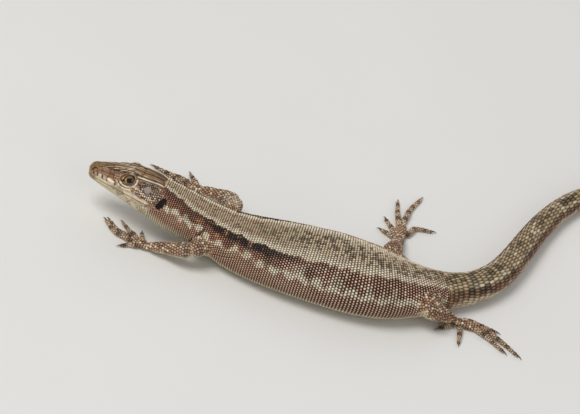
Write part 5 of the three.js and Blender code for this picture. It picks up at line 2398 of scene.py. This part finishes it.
@dataclass
class ScaleCoat:
    """Every scale behind the head: body rows, belly and collar plates, whorls, limbs and digits.

    Attributes:
        coat: lays the scales.
        pitch: distance between rows of body scales, against station.
        width: width of a body scale, against station.
        parting: station where the front piece of body scales ends and the rear one starts.
        plate: distance between rows of belly plates.
        whorl_width: width of a tail scale.
        limb_scale: pitch and width of limb scales.
        digit_scale: pitch and width of scales of fingers and toes.
    """

    coat: Coat
    pitch: Curve = Curve((
        (-24, 0.36), (-16, 0.37), (-12, 0.40), (-4, 0.43), (8, 0.48), (14, 0.46), (26, 0.46),
    ))
    width: Curve = Curve(((-24, 0.35), (-15, 0.37), (-4, 0.44), (8, 0.50), (16, 0.46), (26, 0.46)))
    parting: float = -3.0
    plate: float = 1.54
    whorl_width: float = 0.56
    limb_scale: tuple[float, float] = (0.46, 0.5)
    digit_scale: tuple[float, float] = (0.4, 0.4)
    body_form: ScaleForm = ScaleForm(0.3, 0.12, 0.03, 0.07, 0.1)
    belly_form: ScaleForm = ScaleForm(0.12, 0.05, 0, 0.09, 0.06, 8, 0.3)
    whorl_form: ScaleForm = ScaleForm(0.14, 0.08, 0.09, 0.1, 0.16, 5, 0.5)
    limb_form: ScaleForm = ScaleForm(0.32, 0.1, 0, 0.04, 0.08)
    digit_form: ScaleForm = ScaleForm(0.2, 0.08, 0, 0.05, 0.05)

    def body_rows(self, first: float, last: float, material: bpy.types.Material,
                  name: str) -> bpy.types.Object:
        """Small keeled scales in staggered rows, round the neck and down to the belly plates.

        Args:
            first: station that the piece's rows begin from.
            last: station that they stop before.
            material: the hide.
            name: the piece's name.

        Returns:
            The object.
        """
        stations = self.coat.rows(self.pitch, -27.0, VENT + 0.6)
        neck = stations < -17.2
        span = np.where(neck, 1.0, BELLY_SHARE)
        girth = self.coat.flesh.body.girth(stations)
        counts = np.rint(2 * span * girth / self.width(stations) / 6).astype(int) * 6
        bed = self.coat.on_body(stations, counts, -span, span, self.pitch(stations))
        along = np.repeat(stations, counts)[bed.order]
        station, angle, _, _ = self.coat.flesh.body.coordinates(bed.roots)
        share = self.coat.flesh.body.share_at(station, angle)
        seen = (station > COAT_START(share)) & (ear_distance(station, share) > 1.3)
        bed = bed.chosen(seen & (along >= first) & (along < last))
        return bed.dressed(self.body_form).to_object(name, material)

    def belly(self, material: bpy.types.Material) -> bpy.types.Object:
        """Six rows of broad plates under the trunk, and the collar's plates across the throat.

        Args:
            material: what it is made of.

        Returns:
            The object.
        """
        stations = np.arange(-15.6, VENT, self.plate)
        ones = np.ones(len(stations))
        plates = self.coat.on_body(stations, np.full(len(stations), 6), BELLY_SHARE * ones,
                                   (2 - BELLY_SHARE) * ones, self.plate * ones, 0, 1.03, 1.12)
        collar = self.coat.on_body(*(np.array([v]) for v in (-18.0, 11, 0.6, 1.4, 1.0)), 0, 1.03, 1.1)
        shapes = [plates.dressed(self.belly_form), collar.dressed(self.belly_form)]
        return Shape.joined(shapes).to_object("belly_plates", material)

    def tail(self, material: bpy.types.Material) -> bpy.types.Object:
        """Long keeled scales in whorls that grow shorter and fewer towards the tip.

        Args:
            material: what it is made of.

        Returns:
            The object.
        """
        pitch = Curve(((VENT, 0.6), (27, 1.0), (32, 1.1), (70, 1.15), (110, 1.05), (TAIL_TIP, 0.8)))
        stations = self.coat.rows(pitch, VENT + 0.8, TAIL_TIP - 0.4)
        girth = self.coat.flesh.body.girth(stations)
        counts = np.maximum(8, np.rint(2 * girth / self.whorl_width / 2).astype(int) * 2)
        ones = np.ones(len(stations))
        bed = self.coat.on_body(stations, counts, -ones, ones, pitch(stations), 0.5, 1.04, 1.16)
        return bed.dressed(self.whorl_form).to_object("tail_whorls", material)

    def limbs(self, material: bpy.types.Material) -> bpy.types.Object:
        """Rings of scales on upper and lower limbs, palms and soles."""
        numbers = [n for n in range(len(self.coat.flesh.tubes)) if n % 8 < 3]
        return self.ringed(numbers, *self.limb_scale, self.limb_form).to_object("limb_scales", material)

    def digits(self, material: bpy.types.Material) -> bpy.types.Object:
        """Rings of scales on fingers and toes."""
        numbers = [n for n in range(len(self.coat.flesh.tubes)) if n % 8 >= 3]
        return self.ringed(numbers, *self.digit_scale, self.digit_form).to_object("digit_scales", material)

    def ringed(self, numbers: list[int], pitch: float, width: float, form: ScaleForm) -> Shape:
        """Rings of scales on some tubes, each with its own column of the map."""
        beds = [self.coat.on_tube(n, pitch, width, (i, len(numbers))) for i, n in enumerate(numbers)]
        return Shape.joined([bed.dressed(form) for bed in beds])


# ---------------------------------------------------------------- materials


def linear(code: str, alpha: float = 1.0) -> tuple[float, float, float, float]:
    """A colour written as six hex digits, as the shader's linear numbers.

    Args:
        code: red, green and blue as hex digits.
        alpha: how opaque.

    Returns:
        Linear red, green and blue, and alpha.
    """
    parts = [int(code[i:i + 2], 16) / 255 for i in (0, 2, 4)]
    red, green, blue = (((p + 0.055) / 1.055) ** 2.4 if p > 0.04045 else p / 12.92 for p in parts)
    return red, green, blue, alpha


class Term:
    """A number or colour in a material; arithmetic on it adds Math nodes."""

    def __init__(self, shader: Shader, socket: bpy.types.NodeSocket) -> None:
        """Wraps one output socket of a node in the shader."""
        self.shader, self.socket = shader, socket

    def math(self, operation: str, *others: Term | float) -> Term:
        """The result of one Math node on this and other numbers."""
        return self.shader.node("ShaderNodeMath", {"operation": operation}, *((self,) + others))

    def __add__(self, other: Term | float) -> Term:
        """Sum."""
        return self.math("ADD", other)

    def __mul__(self, other: Term | float) -> Term:
        """Product."""
        return self.math("MULTIPLY", other)

    def __sub__(self, other: Term | float) -> Term:
        """Difference."""
        return self.math("SUBTRACT", other)

    def __rsub__(self, other: float) -> Term:
        """Difference from a plain number."""
        return self.shader.node("ShaderNodeMath", {"operation": "SUBTRACT"}, other, self)

    __radd__ = __add__
    __rmul__ = __mul__

    def step(self, low: float, high: float) -> Term:
        """A soft step from 0 at low to 1 at high."""
        return self.shader.node("ShaderNodeMapRange", {"interpolation_type": "SMOOTHSTEP"}, self, low, high)


class Shader:
    """One material's nodes, made by expressions."""

    def __init__(self, name: str) -> None:
        """Starts an empty material with a surface shader and its output.

        Args:
            name: the material's name.
        """
        self.material = bpy.data.materials.new(name)
        self.material.use_nodes = True
        self.tree = self.material.node_tree
        self.surface = self.tree.nodes["Principled BSDF"]

    def node(self, kind: str, settings: dict[str, object], *values: object, out: int | str = 0) -> Term:
        """Adds a node.

        Args:
            kind: the node's type.
            settings: its own settings, set first.
            values: a value or Term for each input in order; None leaves one alone.
            out: which output to return.

        Returns:
            The chosen output.
        """
        made = self.tree.nodes.new(kind)
        for key, value in settings.items():
            setattr(made, key, value)
        sockets = [s for s in made.inputs if s.enabled]
        for socket, value in zip(sockets, values):
            if value is not None:
                self.set(socket, value)
        found = made.outputs[out] if isinstance(out, str) else [s for s in made.outputs if s.enabled][out]
        return Term(self, found)

    def set(self, socket: bpy.types.NodeSocket, value: object) -> None:
        """Links a Term to a socket, or writes a plain value there.

        Args:
            socket: an input of a node.
            value: what it gets.
        """
        if isinstance(value, Term):
            self.tree.links.new(value.socket, socket)
        else:
            socket.default_value = value

    def mix(self, a: object, b: object, share: Term | float) -> Term:
        """A colour a share of the way from a to b."""
        return self.node("ShaderNodeMix", {"data_type": "RGBA"}, share, a, b)

    def channels(self, name: str) -> tuple[Term, Term, Term, Term]:
        """The four numbers of an attribute.

        Args:
            name: the attribute.

        Returns:
            Red, green, blue and alpha.
        """
        colour = self.node("ShaderNodeAttribute", {"attribute_name": name}, out="Color")
        node = colour.socket.node
        parts = self.node("ShaderNodeSeparateColor", {}, colour).socket.node
        return tuple(Term(self, s) for s in (*parts.outputs, node.outputs["Alpha"]))

    def noise(self, size: float, detail: float = 2.0) -> Term:
        """Noise 0..1 in the object's own coordinates, with features of a size in millimetres."""
        place = self.node("ShaderNodeTexCoord", {}, out="Object")
        return self.node("ShaderNodeTexNoise", {}, place, 1 / (size * MM), detail, out="Fac")

    def bump(self, height: Term, depth: float) -> Term:
        """A normal bent by a height of up to a depth in millimetres.

        Args:
            height: 0..1.
            depth: what 1 stands for, in millimetres.

        Returns:
            The normal.
        """
        made = self.node("ShaderNodeBump", {})
        bump = made.socket.node
        bump.inputs["Distance"].default_value = depth * MM
        self.set(bump.inputs["Height"], height)
        return made

    def finish(self, **sockets: object) -> bpy.types.Material:
        """Sets the surface shader's sockets by name, with _ for a space, and returns the material.

        Args:
            sockets: a value or Term for each name.

        Returns:
            The material.
        """
        for name, value in sockets.items():
            self.set(self.surface.inputs[name.replace("_", " ")], value)
        return self.material


@dataclass(frozen=True)
class Hide:
    """Scaly skin: earth colours laid over each other by the markings, a painted highlight mid-scale, dark
    gaps with painted shade.

    Attributes:
        name: the material's name.
        roughness: of a dry scale.
        seam: how dark the gaps between scales are, as their own dark colour and painted shade.
        fine: depth of the finest bump, in millimetres.
        dot: painted highlight on the middle of a scale; umber tints some scales, and gap lies between them.
    """

    name: str
    roughness: float = 0.38
    seam: float = 0.25
    fine: float = 0.012
    dot: str = "FAEBD4"
    tan: str = "F0D8B4"
    olive: str = "7E6636"
    rust: str = "8C4A29"
    lilac: str = "96897F"
    cream: str = "F6E9CB"
    belly: str = "D2C8A8"
    orange: str = "D8943A"
    black: str = "150E0B"
    umber: str = "7E4A2A"
    gap: str = "1B0E08"

    def make(self) -> bpy.types.Material:
        """Builds the material from the attributes marks, marks2 and grain.

        Returns:
            The material.
        """
        shader = Shader(self.name)
        cream, black, rust, belly = shader.channels("marks")
        olive, lilac, orange, bead = shader.channels("marks2")
        edge, lot, keel, _ = shader.channels("grain")
        colour = shader.mix(linear(self.tan), linear(self.olive), olive)
        for code, amount in ((self.rust, rust), (self.lilac, lilac), (self.cream, cream),
                             (self.belly, belly), (self.orange, orange), (self.black, black)):
            colour = shader.mix(colour, linear(code), amount)
        mottle = shader.noise(0.9, 3)
        grain = shader.noise(0.11, 2)
        tint = (lot * 7.31).math("FRACT")
        colour = shader.mix(colour, linear(self.umber), tint.step(0.4, 1.0) * (1 - belly) * 0.3)
        light = 0.68 + 0.36 * lot + 0.36 * mottle + 0.12 * (grain - 0.5)
        colour = shader.mix(linear("000000"), colour, light.math("MINIMUM", 1.0))
        # Painted highlight: a pale dot in each scale's middle. Painted shade: the gaps darkened further
        # where that highlight is painted.
        pale = (1 - edge.step(0.05, 0.6)) * bead * (1 - black * 0.8)
        colour = shader.mix(colour, linear(self.dot), pale)
        colour = shader.mix(colour, linear(self.gap), edge.step(0.42, 1.0) * (self.seam + bead * 0.95))
        rough = self.roughness + 0.35 * edge + 0.12 * (mottle - 0.5)
        height = grain * 0.6 + 0.3 * keel + shader.noise(0.3, 2) * 0.5
        return shader.finish(Base_Color=colour, Roughness=rough, Normal=shader.bump(height, self.fine),
                             Specular_IOR_Level=0.33)


@dataclass(frozen=True)
class EyeGloss:
    """Wet eyeball: black pupil, gold ring with painted shade over its rear half, dark speckled iris.

    Attributes:
        name: the material's name.
        pupil: radius of the pupil, in millimetres.
        ring: outer radius of the gold ring, in millimetres.
    """

    name: str = "wet_eye"
    pupil: float = 0.46
    ring: float = 0.8

    def make(self) -> bpy.types.Material:
        """Builds the material from grain: distance from the gaze, and the way round.

        Returns:
            The material.
        """
        shader = Shader(self.name)
        away, around, _, _ = shader.channels("grain")
        speck = shader.noise(0.16, 3)
        gold = shader.mix(linear("A0681E"), linear("F0BC5C"), speck.step(0.3, 0.65))
        iris = shader.mix(linear("2A170E"), linear("7A4A22"), speck.step(0.5, 0.75))
        wave = away + 0.05 * (speck - 0.5)
        # Painted shade: the gold ring is darkened over its rear half.
        behind = (around * 6.2832).math("COSINE").step(-0.2, 0.6)
        gold = shader.mix(gold, linear("2B1A10"), behind)
        colour = shader.mix(gold, iris, wave.step(self.ring, self.ring + 0.08))
        colour = shader.mix(linear("080605"), colour, wave.step(self.pupil - 0.02, self.pupil + 0.02))
        return shader.finish(Base_Color=colour, Roughness=0.3, Specular_IOR_Level=0.1, Coat_Weight=0.5,
                             Coat_Roughness=0.03)


@dataclass(frozen=True)
class Horn:
    """Claw: dark translucent-looking horn with paler streaks."""

    name: str = "claw_horn"

    def make(self) -> bpy.types.Material:
        """Builds the material with a faint streak.

        Returns:
            The material.
        """
        shader = Shader(self.name)
        streak = shader.noise(0.12, 2)
        colour = shader.mix(linear("3A2A1E"), linear("8A7358"), streak.step(0.3, 0.75))
        return shader.finish(Base_Color=colour, Roughness=0.3 + 0.15 * streak,
                             Normal=shader.bump(streak, 0.01))


@dataclass(frozen=True)
class Membrane:
    """Eardrum: thin dark skin with a soft shine."""

    name: str = "ear_membrane"

    def make(self) -> bpy.types.Material:
        """Builds the material with a mottle of browns.

        Returns:
            The material.
        """
        shader = Shader(self.name)
        mottle = shader.noise(0.35, 3)
        colour = shader.mix(linear("080504"), linear("241A14"), mottle.step(0.35, 0.75))
        return shader.finish(Base_Color=colour, Roughness=0.45 + 0.1 * mottle, Specular_IOR_Level=0.25,
                             Normal=shader.bump(mottle, 0.02))


# ---------------------------------------------------------------- studio


@dataclass
class Studio:
    """Pale floor and surround, soft lamps, and the camera looking down from the left, rolled.

    Attributes:
        aim: point in the middle of the view, in millimetres.
        distance: from there to the camera, in millimetres.
        elevation: of the view, in degrees over the floor.
        roll: of the camera, in degrees.
        lens: focal length, in millimetres.
        half_floor: half the floor's width, in millimetres.
        lamps: each lamp's name, place in metres, width in metres and power in watts.
    """

    aim: Point = (-4.7, 12.06, 5.0)
    distance: float = 2672.0
    elevation: float = 38.0
    roll: float = 19.0
    lens: float = 1000.0
    half_floor: float = 4000.0
    lamps: tuple[tuple[str, Point, float, float], ...] = (
        ("key_lamp", (-0.45, -0.3, 0.95), 0.5, 6.3),
        ("fill_lamp", (0.6, -0.7, 0.5), 0.8, 1.5),
        ("rear_lamp", (0.1, 0.9, 0.6), 0.8, 1.0),
    )

    def build(self) -> None:
        """Adds floor, world, lamps and camera, and sets the plain view transform."""
        scene = bpy.context.scene
        scene.view_settings.view_transform = "Standard"
        self.floor()
        self.world(scene)
        for name, place, size, power in self.lamps:
            self.lamp(name, place, size, power)
        self.camera(scene)

    def floor(self) -> None:
        """A wide plain floor at height 0 with a matt finish."""
        shader = Shader("studio_floor")
        tone = shader.mix(linear("E8E6E1"), linear("EEECE8"), shader.noise(40, 2))
        material = shader.finish(Base_Color=tone, Roughness=0.9)
        corners = self.half_floor * np.array([[-1, -1, 0], [1, -1, 0], [1, 1, 0], [-1, 1, 0]])
        floor = Shape(corners, np.arange(4), np.array([0])).to_object("studio_floor", material)

    @staticmethod
    def world(scene: bpy.types.Scene) -> None:
        """Pale surround seen by the camera and in gloss, with a softer light of its own.

        Args:
            scene: gets the surround.
        """
        world = bpy.data.worlds.new("studio")
        world.use_nodes = True
        scene.world = world
        background = world.node_tree.nodes["Background"]
        background.inputs["Color"].default_value = (0.93, 0.94, 0.96, 1)
        background.inputs["Strength"].default_value = 0.38

    @staticmethod
    def lamp(name: str, place: Point, size: float, power: float) -> None:
        """One square soft lamp that faces the middle of the floor.

        Args:
            name: of the lamp.
            place: in metres.
            size: width in metres.
            power: in watts.
        """
        data = bpy.data.lights.new(name, "AREA")
        data.size, data.energy = size, power
        lamp = bpy.data.objects.new(name, data)
        bpy.context.scene.collection.objects.link(lamp)
        back = unit(np.array(place))
        right = unit(np.cross([0, 0, 1], back))
        axes = np.stack([right, np.cross(back, right), back], 1)
        lamp.matrix_world = Studio.matrix(axes, np.array(place))

    @staticmethod
    def matrix(axes: Array, place: Array) -> list[list[float]]:
        """Columns of the 4 by 4 matrix that carries the axes to a place, as Blender reads them.

        Args:
            axes: right, up and back as columns.
            place: in metres.

        Returns:
            The columns.
        """
        full = np.eye(4)
        full[:3, :3], full[:3, 3] = axes, place
        return [[float(v) for v in row] for row in full.T]

    def camera(self, scene: bpy.types.Scene) -> None:
        """A long lens: right, up and back come from the elevation and the roll.

        Args:
            scene: gets the camera.
        """
        high, turn = math.radians(self.elevation), math.radians(self.roll)
        flat = np.array([[1, 0, 0], [0, math.sin(high), math.cos(high)]])
        back = np.array([0, -math.cos(high), math.sin(high)])
        right = math.cos(turn) * flat[0] + math.sin(turn) * flat[1]
        up = -math.sin(turn) * flat[0] + math.cos(turn) * flat[1]
        data = bpy.data.cameras.new("camera")
        data.lens, data.clip_end = self.lens, 50
        camera = bpy.data.objects.new("camera", data)
        scene.collection.objects.link(camera)
        place = (np.array(self.aim) + self.distance * back) * MM
        camera.matrix_world = self.matrix(np.stack([right, up, back], 1), place)
        scene.camera = camera


# ---------------------------------------------------------------- all together


def place(piece: bpy.types.Object, slot: str, *nodes: str) -> None:
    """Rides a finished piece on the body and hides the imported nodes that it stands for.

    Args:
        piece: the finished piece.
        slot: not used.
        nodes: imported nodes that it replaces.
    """
    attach(piece, BODY)
    if nodes:
        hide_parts(*nodes)
    LOG.info("%s: %d faces", piece.name, len(piece.data.polygons))


def flesh_nodes(flesh: Flesh) -> list[str]:
    """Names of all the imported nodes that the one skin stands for."""
    tail = ["tail_base", "tail_front", "tail_middle", "tail_rear", "tail_tip"]
    return ["head", "lower_jaw", "neck", "trunk", *tail] + [tube.name for tube in flesh.tubes]


def main() -> None:
    """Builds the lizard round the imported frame."""
    logging.basicConfig(level=logging.INFO, format="%(message)s")
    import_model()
    flesh = Flesh()
    pattern = Pattern(flesh)
    hide = Hide("scaly_hide").make()
    place(Skin(flesh, pattern).build(hide), "body_scales", *flesh_nodes(flesh))
    place(Head(flesh).build(Hide("head_shields", 0.42, 0.62).make()), "head_scales")
    gloss = EyeGloss().make()
    for ball, node in zip(Eyes(flesh.body).build(gloss), ("eye_left", "eye_right")):
        place(ball, "eye", node)
    for drum, node in zip(Eardrums(flesh.body).build(Membrane().make()), ("eardrum_left", "eardrum_right")):
        place(drum, "eardrum", node)
    coat = ScaleCoat(Coat(flesh, pattern))
    place(coat.body_rows(NOSE, coat.parting, hide, "body_scales_front"), "body_scales")
    place(coat.body_rows(coat.parting, TAIL_TIP, hide, "body_scales_rear"), "body_scales")
    place(coat.belly(hide), "body_scales")
    place(coat.tail(hide), "tail_scales")
    place(coat.limbs(hide), "limb_scales")
    place(coat.digits(hide), "digit_scales")
    place(Claws(flesh).build(Horn().make()), "digit_scales")
    Studio().build()


if __name__ == "__main__":
    main()
